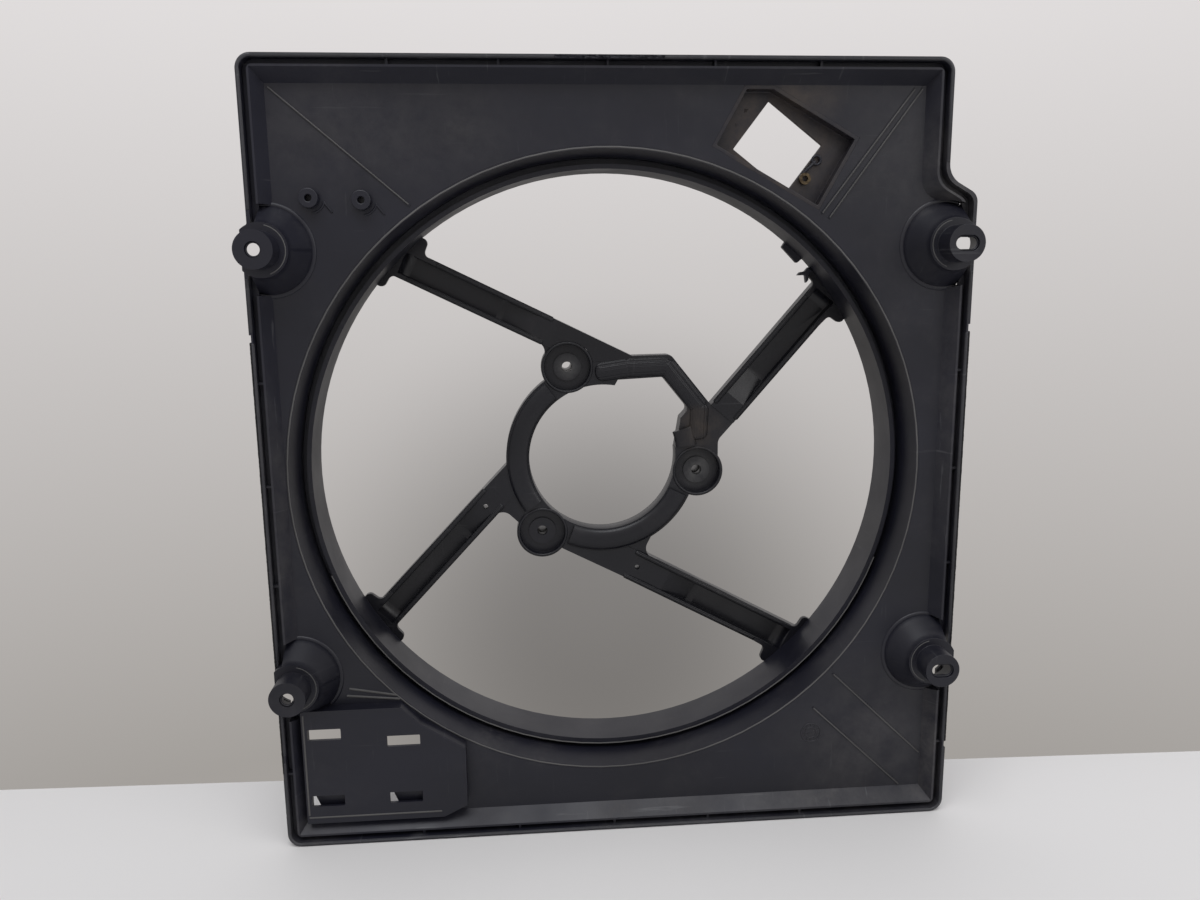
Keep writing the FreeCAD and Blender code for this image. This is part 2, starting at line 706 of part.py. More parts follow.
def build_arm(name, direction, offset, width, start, drain, web):
    """A motor arm: a trough open to the radiator side, flared where it leaves the duct."""
    body = new_body(name, turn=direction)
    half = size(width) / 2
    end = DUCT_OUTSIDE + 4
    side = new_sketch(body, f"{name}_side", role="XY_Plane", offset=offset)
    outline(side, [
        (start, -D.ring_forward),
        (start, D.arm_depth - D.ring_forward),
        (D.ring_outer, D.arm_depth - D.ring_forward),
        (end, D.arm_depth - D.duct_back),
        (end, -D.duct_back),
        (D.duct_bore, -D.duct_back),
        (D.ring_outer, -D.ring_forward),
    ] if start < 76 else [
        (start, arm_front(start)),
        (start, arm_front(start) + D.arm_depth),
        (end, D.arm_depth - D.duct_back),
        (end, -D.duct_back),
        (D.duct_bore, -D.duct_back),
    ])
    pad(body, side, half * 2, midplane=True)
    root = new_sketch(body, f"{name}_root", offset=D.duct_back - D.root_thickness)
    flare = half + D.root_flare
    outer = chord(DUCT_OUTSIDE, offset - flare) - D.root_depth
    inner = chord(DUCT_OUTSIDE, offset + flare) - D.root_depth
    outline(root, [
        (outer - D.root_flare, offset),
        (outer - D.root_flare, offset - half),
        (outer - 1, offset - half - 1, 4),
        (outer, offset - flare, 4),
        (end, offset - flare),
        (end, offset + flare),
        (inner, offset + flare, 4),
        (inner - 1, offset + half + 1, 4),
        (inner - D.root_flare, offset + half),
        (inner - D.root_flare, offset),
    ])
    pad(body, root, D.root_thickness)
    if web:
        web_end, web_reach = web
        corner = new_sketch(body, f"{name}_web", offset=-(D.arm_depth - D.ring_forward))
        outline(corner, [
            (start, offset),
            (size(web_end) + D.web_radius * 2, offset),
            (size(web_end) + D.web_radius * 2, offset + half),
            (web_end, offset + half, D.web_radius),
            (web_end, web_reach),
            (start, web_reach),
        ])
        pad(body, corner, D.arm_depth - 1)
    trough = new_sketch(body, f"{name}_trough", role="XY_Plane", offset=offset)
    first = size(max(start, 76)) + D.arm_trough_start
    ramp_end = first + D.arm_ramp
    last = chord(DUCT_OUTSIDE, offset) - D.arm_trough_end
    drop = D.arm_depth - D.arm_floor
    outline(trough, [
        (first, arm_front(first) - 4),
        (ramp_end, arm_front(ramp_end) + drop, 16),
        (last - 2, arm_front(last) + drop, 8),
        (last, -(D.duct_back + 4)),
    ])
    pocket(body, trough, half * 2 - D.arm_edge * 2, midplane=True)
    if drain:
        hole = new_sketch(body, f"{name}_drain")
        circle(hole, drain, offset, D.drain_hole)
        pocket(body, hole)
    trim = new_sketch(body, f"{name}_trim")
    circle(trim, 0, 0, D.ring_outer + D.seat_gap)
    pocket(body, trim)
    trim = new_sketch(body, f"{name}_end")
    circle(trim, 0, 0, DUCT_OUTSIDE)
    circle(trim, 0, 0, DUCT_OUTSIDE + 60)
    pocket(body, trim)
    ears = new_sketch(body, f"{name}_ear_cut")
    for index in range(3):
        x, z = turned(direction, D.motor_angle + index * 120, D.motor_circle)
        circle(ears, x, z, D.ear_radius + D.seat_gap)
    pocket(body, ears)
    return body


def polar(body, name, features, count=3):
    """Repeats features about the fan axis."""
    pattern = body.newObject("PartDesign::PolarPattern", name)
    pattern.Originals = features
    pattern.Axis = (plane(body, "Y_Axis"), [""])
    pattern.Angle = 360.0
    pattern.Occurrences = count
    body.Tip = pattern


def build_motor_ring():
    """The ring that carries the motor: three eared bowls, and an angular stretch that clears the motor's plug."""
    body = new_body("motor_ring")
    thickness = D.ring_forward + D.ring_back
    foot = (cosine(D.motor_angle) * D.motor_circle, sine(D.motor_angle) * D.motor_circle)
    ring = new_sketch(body, "ring_outline", offset=-D.ring_back)
    circle(ring, 0, 0, D.ring_outer)
    pad(body, ring, thickness)
    ear = new_sketch(body, "ear_outline", offset=-D.ring_back)
    circle(ear, *foot, D.ear_radius)
    polar(body, "ears", [pad(body, ear, thickness)])
    bulge = new_sketch(body, "plug_stretch", offset=-D.ring_back)
    upper_left = "arm_upper_left"
    upper_right = "arm_upper_right"
    outline(bulge, [
        arm_point(upper_left, ARMS[upper_left][3], 1),
        arm_point(upper_left, ARMS[upper_left][3], -1),
        (54, 80.2, 5),
        arm_point(upper_right, ARMS[upper_right][3], 1),
        arm_point(upper_right, ARMS[upper_right][3], -1),
        (92, 12, 8),
        (92, -5),
        (50, -5),
    ])
    pad(body, bulge, thickness)
    bore = new_sketch(body, "ring_bore", offset=D.ring_forward)
    circle(bore, 0, 0, D.ring_bore)
    pocket(body, bore)
    plug = new_sketch(body, "plug_opening", offset=D.ring_forward)
    outline(plug, [(12.4, 61.5), (47.7, 63.1, 4), (68.4, 37.4, 4), (62.0, 30.4), (58.0, 6.5), (20, 10), (0, 40)])
    pocket(body, plug)
    bowl = new_sketch(body, "foot_bowl", offset=D.ring_forward)
    circle(bowl, *foot, D.bowl_radius)
    polar(body, "foot_bowls", [pocket(body, bowl, D.ring_forward + D.foot_pad_rise)])
    disc = new_sketch(body, "foot_disc", offset=-D.foot_pad_rise)
    circle(disc, *foot, D.foot_pad)
    polar(body, "foot_discs", [pad(body, disc, D.foot_pad_rise)])
    hole = new_sketch(body, "screw_hole")
    circle(hole, *foot, D.motor_hole)
    polar(body, "screw_holes", [pocket(body, hole)])
    for index in range(3):
        boss = new_body(f"motor_screw_boss_{index + 1}", turn=D.motor_angle + index * 120)
        tube = new_sketch(boss, f"{boss.Name}_outline", offset=-D.screw_boss_back)
        circle(tube, D.motor_circle, 0, D.screw_boss)
        circle(tube, D.motor_circle, 0, D.motor_hole)
        pad(boss, tube, D.screw_boss_back - D.ring_back)


def slot_outline(sketch, length, width):
    """A slot with round ends, level and on the middle of the sketch."""
    half = (length - width) / 2
    radius = width / 2
    outline(sketch, [
        (-(half + radius), -radius, radius * 0.98),
        (half + radius, -radius, radius * 0.98),
        (half + radius, radius, radius * 0.98),
        (-(half + radius), radius, radius * 0.98),
    ])


def turn_profile(body, kind, name, points):
    """A form turned about a body's own Y axis."""
    profile = new_sketch(body, name, role="XY_Plane")
    outline(profile, points)
    feature = body.newObject(f"PartDesign::{kind}", f"{name}_turn")
    feature.Profile = profile
    feature.ReferenceAxis = (profile, ["V_Axis"])
    feature.Angle = 360.0


def side_box(side, near, half):
    """The outline of all that lies further out than a line beside a post's axis."""
    far = D.post_foot * 2
    return box_outline(near, far, -half, half) if side > 0 else box_outline(-far, -near, -half, half)


def build_posts():
    """The four hollow mounting posts, each on a mound that ends at the sealing channel.

    The left ones have round holes, the right ones have slots.
    """
    height = D.post_shoulder_forward - PANEL_BACK
    inside = D.post_forward - D.post_head
    for name, (x, z) in POSTS.items():
        body = new_body(f"post_{name}")
        bind(body, "Placement.Base.x", x)
        bind(body, "Placement.Base.z", z)
        turn_profile(body, "Revolution", f"{body.Name}_mound", [
            (0, -D.post_shoulder_forward),
            (D.post_shoulder, -D.post_shoulder_forward),
            (D.post_foot, -D.panel_forward),
            (D.post_foot, -PANEL_BACK),
            (0, -PANEL_BACK),
        ])
        side = -1 if "left" in name else 1
        to_edge = D.post_left_inset if side < 0 else D.post_right_inset
        channel = new_sketch(body, f"{body.Name}_channel_side", offset=D.post_shoulder_forward)
        outline(channel, side_box(side, to_edge - CHANNEL_INSET, D.post_foot))
        pocket(body, channel, height)
        if name == "upper_left":
            near = CHANNEL_INSET - to_edge
            step_in = D.left_reach - D.left_upper_reach
            low = D.left_step_height - D.left_step_rise - z
            step = new_sketch(body, f"{body.Name}_step_side", offset=D.post_shoulder_forward)
            outline(step, [
                (near, low),
                (near + step_in, low + D.left_step_rise),
                (near + step_in, D.post_foot),
                (near, D.post_foot),
            ])
            pocket(body, step, height)
        if name == "lower_left":
            beside = new_sketch(body, f"{body.Name}_pad_side", offset=D.post_shoulder_forward)
            outline(beside, box_outline(PAD_EDGE - x, D.post_foot, -D.post_foot, -(PAD_TOP - D.post_bottom)))
            pocket(body, beside, height)
        column = new_sketch(body, f"{body.Name}_column", offset=PANEL_BACK)
        circle(column, 0, 0, D.post_column)
        pad(body, column, height)
        neck = new_sketch(body, f"{body.Name}_neck", offset=D.post_shoulder_forward)
        circle(neck, 0, 0, D.post_neck)
        pad(body, neck, D.post_forward - D.post_shoulder_forward)
        turn_profile(body, "Groove", f"{body.Name}_hollow", [
            (0, -inside),
            (D.post_neck - D.wall, -inside),
            (D.post_neck - D.wall, -D.post_shoulder_forward),
            (D.post_foot - D.wall, -PANEL_BACK),
            (0, -PANEL_BACK),
        ])
        edge = new_sketch(body, f"{body.Name}_edge", offset=D.post_shoulder_forward)
        outline(edge, side_box(side, to_edge - D.strip_thickness, D.post_foot))
        pocket(body, edge, height)
        opening = new_sketch(body, f"{body.Name}_hole", offset=D.post_forward)
        if side < 0:
            circle(opening, 0, 0, D.post_hole)
        else:
            slot_outline(opening, D.post_slot, D.post_hole * 2)
        pocket(body, opening, D.post_head + D.wall)


def build_controller_pad():
    """The raised platform for the fan controller, open behind, with its four clip slots."""
    body = new_body("controller_pad")
    block = new_sketch(body, "pad_outline", offset=PANEL_BACK)
    outline(block, controller_pad_outline())
    pad(body, block, D.flange_forward - PANEL_BACK)
    hollow = new_sketch(body, "pad_hollow", offset=PANEL_BACK)
    outline(hollow, controller_pad_outline(D.wall))
    pocket(body, hollow, D.flange_forward - D.wall - PANEL_BACK, from_back=True)
    slots = new_sketch(body, "pad_slots", offset=D.flange_forward)
    for x, z in ((16, 18.5), (73, 26.0), (16, 71.0), (73, 71.0)):
        left = PAD_EDGE + x - D.pad_slot_length / 2
        low = -(PAD_TOP + z) - D.pad_slot_width / 2
        outline(slots, box_outline(left, left + D.pad_slot_length, low, low + D.pad_slot_width))
    pocket(body, slots, D.wall * 2)


def window_point(across, up):
    """A point of the window, from its place along its long and short sides."""
    x = cosine(D.window_direction) * D.window_centre + cosine(D.window_turn) * across - sine(D.window_turn) * up
    z = sine(D.window_direction) * D.window_centre + sine(D.window_turn) * across + cosine(D.window_turn) * up
    return x, z


def build_window():
    """The sunken tray with its window, and the fittings beside the window."""
    body = new_body("window_tray")
    floor = D.panel_forward - D.window_tray_depth
    block = new_sketch(body, "tray_outline", offset=floor - D.wall)
    outline(block, tray_outline())
    pad(body, block, D.window_tray_depth + D.wall)
    inside = new_sketch(body, "tray_inside", offset=D.panel_forward)
    outline(inside, tray_outline(D.wall))
    pocket(body, inside, D.window_tray_depth)
    window = new_sketch(body, "window", offset=floor)
    half = D.window_width / 2
    rise = D.window_height / 2
    outline(window, [
        window_point(-half, -rise),
        window_point(half, -rise),
        window_point(half, rise),
        window_point(-half, rise),
    ])
    pocket(body, window, D.wall * 2)
    insert = new_body("window_insert")
    ring = new_sketch(insert, "insert_outline", offset=floor)
    place = window_point(half + D.insert_radius + 0.5, -5)
    circle(ring, *place, D.insert_radius)
    circle(ring, *place, D.insert_radius / 2)
    pad(insert, ring, D.insert_rise)


def build_small_bosses():
    """The two small screw bosses high on the left of the panel."""
    for name, x, z in (("small_boss_outer", -199.7, 194.4), ("small_boss_inner", -165.3, 192.9)):
        body = new_body(name)
        tube = new_sketch(body, f"{name}_outline", offset=D.panel_forward)
        circle(tube, x, z, D.small_boss)
        circle(tube, x, z, D.small_boss_hole)
        pad(body, tube, D.small_boss_rise)


def build_clips():
    """The cable hook on the duct's back edge and the wire clip on the flare beside it."""
    hook = new_body("cable_hook", turn=D.clip_direction)
    face = new_sketch(hook, "hook_outline", offset=D.duct_back - D.root_thickness)
    outline(face, [
        (D.duct_bore - 5, -9, 1),
        (DUCT_OUTSIDE - 0.2, -10),
        (DUCT_OUTSIDE - 0.2, 9),
        (D.duct_bore - 4, 8, 1),
    ])
    pad(hook, face, D.root_thickness)
    clip = new_body("wire_clip", turn=ARMS["arm_upper_right"][0])
    shape = new_sketch(clip, "clip_outline", offset=D.duct_back)
    base = DUCT_OUTSIDE - D.root_depth + 1
    outline(shape, [
        (base - 9, -33),
        (base - 6, -33),
        (base - 3, -30.5),
        (base + 1, -30.5),
        (base + 1, -26.5),
        (base - 3, -26.5),
        (base - 6, -24),
        (base - 9, -24),
        (base - 5, -28.5),
    ])
    pad(clip, shape, 5)


def build_all():
    """Every sub-part."""
    build_rims()
    build_strips()
    build_panels()
    build_duct()
    for name, sizes in ARMS.items():
        build_arm(name, *sizes)
    build_motor_ring()
    build_posts()
    build_controller_pad()
    build_window()
    build_small_bosses()
    build_clips()


build_all()
doc.recompute()
for item in doc.Objects:
    if "Invalid" in item.State or "Error" in item.State:
        raise RuntimeError(f"{item.Name}: {item.State}")
os.makedirs("parts", exist_ok=True)
for body in nodes:
    shape = body.Shape
    if shape.isNull() or not shape.isValid():
        raise RuntimeError(f"{body.Label}: bad shape")
    shape.exportStep(f"parts/{body.Label}.step")
    print(f"{body.Label}: {shape.Volume / 1000:.1f} cm3, {len(shape.Solids)} solid(s)")
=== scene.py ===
# %% [markdown]
# # Radiator fan shroud
# A fan shroud is one big moulding in black, glass-filled plastic. It guides the air of a cooling fan
# through a car's radiator and carries the fan's motor on four arms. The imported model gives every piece
# its shape and place. This script dresses it: it gives each piece a finish, models what is too soft for
# a plain solid, and sets up the light. Everything is in metres: the fan axis is Y, +Z is up and -Y is
# the radiator side.

# %% Load the model
import math

import bpy
from mathutils import Matrix, Vector


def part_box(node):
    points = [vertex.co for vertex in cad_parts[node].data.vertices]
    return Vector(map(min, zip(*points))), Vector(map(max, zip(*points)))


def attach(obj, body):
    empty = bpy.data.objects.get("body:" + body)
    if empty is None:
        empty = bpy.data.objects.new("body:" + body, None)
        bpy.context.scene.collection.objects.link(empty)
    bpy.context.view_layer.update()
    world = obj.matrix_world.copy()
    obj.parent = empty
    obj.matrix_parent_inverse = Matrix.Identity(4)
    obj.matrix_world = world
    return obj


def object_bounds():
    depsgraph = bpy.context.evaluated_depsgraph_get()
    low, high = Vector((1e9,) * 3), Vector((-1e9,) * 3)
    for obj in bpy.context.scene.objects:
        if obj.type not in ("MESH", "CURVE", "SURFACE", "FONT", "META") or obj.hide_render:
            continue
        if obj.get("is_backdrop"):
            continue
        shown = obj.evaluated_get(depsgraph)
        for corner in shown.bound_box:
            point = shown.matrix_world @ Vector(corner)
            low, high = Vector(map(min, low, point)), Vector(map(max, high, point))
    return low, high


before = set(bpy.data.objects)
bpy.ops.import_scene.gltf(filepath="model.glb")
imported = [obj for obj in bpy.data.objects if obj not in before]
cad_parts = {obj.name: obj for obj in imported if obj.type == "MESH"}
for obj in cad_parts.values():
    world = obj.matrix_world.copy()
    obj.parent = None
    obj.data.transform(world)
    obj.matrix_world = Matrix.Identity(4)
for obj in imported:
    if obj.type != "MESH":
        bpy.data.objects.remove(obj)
cad_low, cad_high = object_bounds()
scene = bpy.context.scene
MM = 0.001
print("nodes:", len(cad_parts))

# %% [markdown]
# ## Finishes
# A moulded part is one colour all through, so what the eye reads as material is the surface: a fine
# grain, faint flow marks, dust that settled in the corners, and scuffs where it rubbed on other parts.
# Each of these is a noise pattern at its own scale. The patterns read object coordinates, and all pieces
# share one origin, so a pattern runs on from one piece to the next and the seams stay hidden.

# %% Small helpers for node trees
def new_material(name):
    material = bpy.data.materials.new(name)
    material.use_nodes = True
    tree = material.node_tree
    tree.nodes.clear()
    output = tree.nodes.new("ShaderNodeOutputMaterial")
    shader = tree.nodes.new("ShaderNodeBsdfPrincipled")
    tree.links.new(shader.outputs[0], output.inputs[0])
    return material, tree, shader


def noise(tree, scale, detail=4.0, stretch=(1, 1, 1), rough=0.5):
    """A noise pattern, squeezed along each axis by the stretch."""
    place = tree.nodes.new("ShaderNodeTexCoord")
    mapping = tree.nodes.new("ShaderNodeMapping")
    mapping.inputs["Scale"].default_value = stretch
    texture = tree.nodes.new("ShaderNodeTexNoise")
    texture.inputs["Scale"].default_value = scale
    texture.inputs["Detail"].default_value = detail
    texture.inputs["Roughness"].default_value = rough
    tree.links.new(place.outputs["Object"], mapping.inputs[0])
    tree.links.new(mapping.outputs[0], texture.inputs[0])
    return texture.outputs["Fac"]


def ramp(tree, value, low, high, start, end):
    """Turns the range from low to high into the range from start to end."""
    node = tree.nodes.new("ShaderNodeMapRange")
    node.inputs["From Min"].default_value = low
    node.inputs["From Max"].default_value = high
    node.inputs["To Min"].default_value = start
    node.inputs["To Max"].default_value = end
    tree.links.new(value, node.inputs[0])
    return node.outputs[0]


def maths(tree, kind, first, second):
    """One step of arithmetic on values or sockets, with the result held between 0 and 1."""
    node = tree.nodes.new("ShaderNodeMath")
    node.operation = kind
    node.use_clamp = True
    for place, value in enumerate((first, second)):
        if isinstance(value, (int, float)):
            node.inputs[place].default_value = value
        else:
            tree.links.new(value, node.inputs[place])
    return node.outputs[0]


def mix(tree, share, first, second):
    """A colour between two colours."""
    node = tree.nodes.new("ShaderNodeMix")
    node.data_type = "RGBA"
    for value, place in ((share, 0), (first, 6), (second, 7)):
        if isinstance(value, tuple):
            node.inputs[place].default_value = (*value, 1)
        elif isinstance(value, float):
            node.inputs[place].default_value = value
        else:
            tree.links.new(value, node.inputs[place])
    return node.outputs[2]


def near(tree, place, radius, stretch=(1, 1, 1)):
    """One close to a place in millimetres, fading to nothing at a radius."""
    coordinates = tree.nodes.new("ShaderNodeTexCoord")
    offset = tree.nodes.new("ShaderNodeVectorMath")
    offset.operation = "SUBTRACT"
    offset.inputs[1].default_value = [value * MM for value in place]
    tree.links.new(coordinates.outputs["Object"], offset.inputs[0])
    scaled = tree.nodes.new("ShaderNodeVectorMath")
    scaled.operation = "MULTIPLY"
    scaled.inputs[1].default_value = stretch
    tree.links.new(offset.outputs[0], scaled.inputs[0])
    length = tree.nodes.new("ShaderNodeVectorMath")
    length.operation = "LENGTH"
    tree.links.new(scaled.outputs[0], length.inputs[0])
    return ramp(tree, length.outputs["Value"], radius * MM, 0, 0, 1)


def facing(tree, axis):
    """How far the surface faces along one axis: 0 x, 1 y, 2 z."""
    geometry = tree.nodes.new("ShaderNodeTexCoord")
    parts = tree.nodes.new("ShaderNodeSeparateXYZ")
    tree.links.new(geometry.outputs["Normal"], parts.inputs[0])
    return parts.outputs[axis]

# %% [markdown]
# ### Moulded plastic
# The base is almost black. Dust is a little lighter and browner than the plastic, lies on what faces up,
# and gathers in patches. Thin bright scratches come from a noise that is squeezed about twenty times
# along one axis, which draws it out along the others, and that is then cut off near its top.

# %% Moulded plastic
BLACK = (0.0058, 0.0059, 0.0102)
DUST = (0.085, 0.080, 0.078)
BROWN_DUST = (0.120, 0.088, 0.060)
PALE_GRIT = (0.300, 0.295, 0.280)
SCRATCH = (0.10, 0.10, 0.105)
FLOW_LIGHTENING = 1.55
GRAIN_DEPTH = 0.00035
GRAIN_STRENGTH = 0.16
DUST_ROUGHNESS = 0.35
SHINE = 0.36


def moulded_plastic(name, dustiness, scuffs, roughness, patches=(), painted_light_scale=1.0, colour=BLACK):
    material, tree, shader = new_material(name)
    # Scaling the colour gives a lighter copy of the plastic as painted light (above 1) and a darker copy as
    # painted shade (below 1).
    plain = tuple(c * painted_light_scale for c in colour)
    flow = ramp(tree, noise(tree, 7, 4, (1, 1, 2.2)), 0.35, 0.7, 0, 1)
    base = mix(tree, flow, plain, tuple(c * FLOW_LIGHTENING for c in plain))
    cloud = ramp(tree, noise(tree, 16, 6, rough=0.62), 0.48, 0.78, 0, 1)
    fine = ramp(tree, noise(tree, 160, 4, rough=0.7), 0.42, 0.75, 0.25, 1)
    upward = ramp(tree, facing(tree, 2), -0.2, 1.0, 0.55, 1.5)
    patchy = maths(tree, "MULTIPLY", cloud, fine)
    dust = maths(tree, "MULTIPLY", patchy, maths(tree, "MULTIPLY", upward, dustiness))
    base = mix(tree, dust, base, DUST)
    for place, radius, stretch, patch_colour, strength in patches:
        patch = maths(tree, "MULTIPLY", near(tree, place, radius, stretch), strength)
        broken = ramp(tree, noise(tree, 60, 6, rough=0.7), 0.35, 0.65, 0.1, 1)
        base = mix(tree, maths(tree, "MULTIPLY", patch, broken), base, patch_colour)
    scratch_a = ramp(tree, noise(tree, 14, 3, (1, 1, 22), 0.6), 0.66, 0.72, 0, 1)
    scratch_b = ramp(tree, noise(tree, 17, 3, (20, 1, 1.4), 0.6), 0.67, 0.73, 0, 1)
    scratch = maths(tree, "MULTIPLY", maths(tree, "MAXIMUM", scratch_a, scratch_b), scuffs)
    base = mix(tree, scratch, base, SCRATCH)
    tree.links.new(base, shader.inputs["Base Color"])
    shader.inputs["Specular IOR Level"].default_value = SHINE
    gloss = ramp(tree, noise(tree, 24, 6), 0.3, 0.7, roughness - 0.06, roughness + 0.08)
    gloss = maths(tree, "ADD", gloss, maths(tree, "MULTIPLY", dust, DUST_ROUGHNESS))
    tree.links.new(gloss, shader.inputs["Roughness"])
    bump = tree.nodes.new("ShaderNodeBump")
    bump.inputs["Strength"].default_value = GRAIN_STRENGTH
    bump.inputs["Distance"].default_value = GRAIN_DEPTH
    height = maths(tree, "ADD", maths(tree, "MULTIPLY", noise(tree, 1100, 2), 0.45), noise(tree, 90, 4))
    tree.links.new(height, bump.inputs["Height"])
    tree.links.new(bump.outputs[0], shader.inputs["Normal"])
    return material

# %% [markdown]
# ### One plastic, nine finishes
# Each group of pieces has its own share of dust and scuffs. The rim's plastic is a lighter copy of the one
# plastic, as painted light, and the arms' and motor ring's are darker copies, as painted shade. A patch of
# dust is given by its centre in millimetres, its radius, how much it is squeezed along each axis, its
# colour and its strength.

# %% The plastic finishes
panel_finish = moulded_plastic("panel_plastic", dustiness=0.30, scuffs=0.10, roughness=0.40, patches=[
    ((133, -72, 262), 34, (1, 1, 1), BROWN_DUST, 0.35),
    ((205, -72, 235), 60, (1, 1, 0.5), DUST, 0.12),
    ((-170, -72, 235), 90, (0.6, 1, 1.6), DUST, 0.22),
    ((200, -72, -215), 80, (1, 1, 1), DUST, 0.32),
])
# The rim's plastic is a lighter copy of the same plastic: painted light.
rim_finish = moulded_plastic("rim_plastic", dustiness=0.55, scuffs=0.35, roughness=0.44, patches=[
    ((240, -78, 205), 42, (1.6, 1, 0.6), DUST, 0.75),
    ((250, -78, 60), 70, (2.5, 1, 0.5), DUST, 0.35),
    ((-236, -78, -60), 90, (2.5, 1, 0.5), DUST, 0.30),
    ((150, -78, -264), 120, (0.5, 1, 2.5), DUST, 0.30),
    ((247, -78, -215), 60, (2.5, 1, 0.6), DUST, 0.70),
    ((-226, -78, -250), 40, (1, 1, 1), DUST, 0.40),
], painted_light_scale=1.25)
# The arm and motor ring plastics are darker copies of the same plastic: painted shade.
arm_finish = moulded_plastic("arm_plastic", dustiness=0.18, scuffs=0.12, roughness=0.34, painted_light_scale=0.45)
ring_finish = moulded_plastic("ring_plastic", dustiness=0.30, scuffs=0.15, roughness=0.38, patches=[
    ((76, -4, 22), 22, (1, 1, 1), BROWN_DUST, 0.40),
    ((-26.9, -5, 71.8), 13, (1, 1, 1), PALE_GRIT, 0.30),
    ((75.6, -5, -12.0), 15, (1, 1, 0.8), PALE_GRIT, 0.32),
], painted_light_scale=0.5)
duct_finish = moulded_plastic("duct_plastic", dustiness=0.35, scuffs=0.10, roughness=0.40)
post_finish = moulded_plastic("post_plastic", dustiness=0.45, scuffs=0.20, roughness=0.42)
tray_finish = moulded_plastic("tray_plastic", dustiness=0.40, scuffs=0.12, roughness=0.42, patches=[
    ((118, -66, 228), 60, (1, 1, 1), BROWN_DUST, 0.55),
])
# The pale fold finish is partly dust and partly a painted highlight on edges that catch the light.
fold_dust_and_highlight_finish = moulded_plastic("fold_dust_and_painted_highlight", dustiness=1.3, scuffs=0.6, roughness=0.5,
                              colour=(0.060, 0.058, 0.057))
# The lip's lighter colour is a painted highlight; its scuffs are wear.
lip_wear_and_highlight_finish = moulded_plastic("lip_wear_and_painted_highlight", dustiness=0.9, scuffs=0.6, roughness=0.36,
                            colour=(0.026, 0.026, 0.030))
print("plastic finishes:", len(bpy.data.materials))

# %% [markdown]
# ### Foam strip and brass
# The sealing strips are soft foam with a rough, torn skin, which takes a strong bump and no shine. The
# insert is dull brass: a metal whose colour and roughness both follow one fine noise, so that the dark
# spots are also dull.

# %% Foam and brass
FOAM = ((0.010, 0.010, 0.011), (0.035, 0.034, 0.034))
BRASS = ((0.13, 0.10, 0.06), (0.05, 0.037, 0.025))


def foam():
    material, tree, shader = new_material("sealing_foam")
    patches = ramp(tree, noise(tree, 60, 6, rough=0.7), 0.4, 0.7, 0, 1)
    tree.links.new(mix(tree, patches, *FOAM), shader.inputs["Base Color"])
    shader.inputs["Roughness"].default_value = 0.9
    bump = tree.nodes.new("ShaderNodeBump")
    bump.inputs["Strength"].default_value = 0.6
    bump.inputs["Distance"].default_value = 0.0008
    tree.links.new(noise(tree, 420, 5, rough=0.7), bump.inputs["Height"])
    tree.links.new(bump.outputs[0], shader.inputs["Normal"])
    return material


def dull_brass():
    material, tree, shader = new_material("dull_brass")
    age = ramp(tree, noise(tree, 500, 4), 0.35, 0.65, 0, 1)
    tree.links.new(mix(tree, age, *BRASS), shader.inputs["Base Color"])
    tree.links.new(ramp(tree, age, 0, 1, 0.35, 0.6), shader.inputs["Roughness"])
    shader.inputs["Metallic"].default_value = 1.0
    return material


strip_finish = foam()
brass_finish = dull_brass()
print("all finishes:", len(bpy.data.materials))

# %% [markdown]
# ### Which piece gets which finish
# The start of a piece's name tells what it is, so a short list of starts is enough to finish all the
# pieces.

# %% Hand out the finishes
FINISHES = {
    "rim_": rim_finish,
    "seal_strip": strip_finish,
    "panel_": panel_finish,
    "controller_pad": panel_finish,
    "fan_duct": duct_finish,
    "arm_": arm_finish,
    "motor_ring": ring_finish,
    "motor_screw": ring_finish,
    "post_": post_finish,
    "window_tray": tray_finish,
    "window_insert": brass_finish,
    "small_boss": post_finish,
    "cable_hook": duct_finish,
    "wire_clip": duct_finish,
}
for name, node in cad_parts.items():
    finish = next(value for start, value in FINISHES.items() if name.startswith(start))
    for slot in node.material_slots:
        slot.material = finish
print("finished pieces:", len(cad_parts))

# %% [markdown]
# ## Soft edges
# No moulded edge is sharp. The solids have sharp ones, so the pieces that stand by themselves get two
# modifiers: Weld joins their loose triangles, and Bevel then rounds every edge that turns by more than
# 35 degrees. The flat panels are left as they are, because a rounded edge would show where two of them
# meet.

# %% Round the edges
WELD_GAP = 0.00001
SOFT_ANGLE = 35
POST_EDGE = 1.3
THIN_EDGE = 0.6
THIN_PIECES = ("arm_", "motor_", "small_boss", "controller", "window_tray", "cable_hook", "wire_clip")


def soften(name, width, segments=2):
    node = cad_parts[name]
    weld = node.modifiers.new("weld", "WELD")
    weld.merge_threshold = WELD_GAP
    bevel = node.modifiers.new("soft_edges", "BEVEL")
    bevel.width = width * MM
    bevel.segments = segments
    bevel.limit_method = "ANGLE"
    bevel.angle_limit = math.radians(SOFT_ANGLE)


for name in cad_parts:
    if name.startswith("post_"):
        soften(name, POST_EDGE, 3)
    if name.startswith(THIN_PIECES):
        soften(name, THIN_EDGE)
print("softened pieces:", sum(len(node.modifiers) == 2 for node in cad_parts.values()))

# %% [markdown]
# ## Modelling helpers
# Most of the small forms on a moulding are beads: rounded bars that run straight or round a centre. Each
# could be a curve with a round bevel, but a mesh shows every step. An operator acts on all that is
# selected, so each piece starts with nothing selected. At its end its place goes into its mesh, as with
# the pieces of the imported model.

# %% Start and finish a piece
SMOOTH_ANGLE = 40
MERGE_GAP = 0.000001


def start_fresh():
    bpy.ops.object.select_all(action="DESELECT")


def close_seams():
    bpy.ops.mesh.select_all(action="SELECT")
    bpy.ops.mesh.remove_doubles(threshold=MERGE_GAP)
    bpy.ops.mesh.normals_make_consistent(inside=False)
    bpy.ops.object.mode_set(mode="OBJECT")


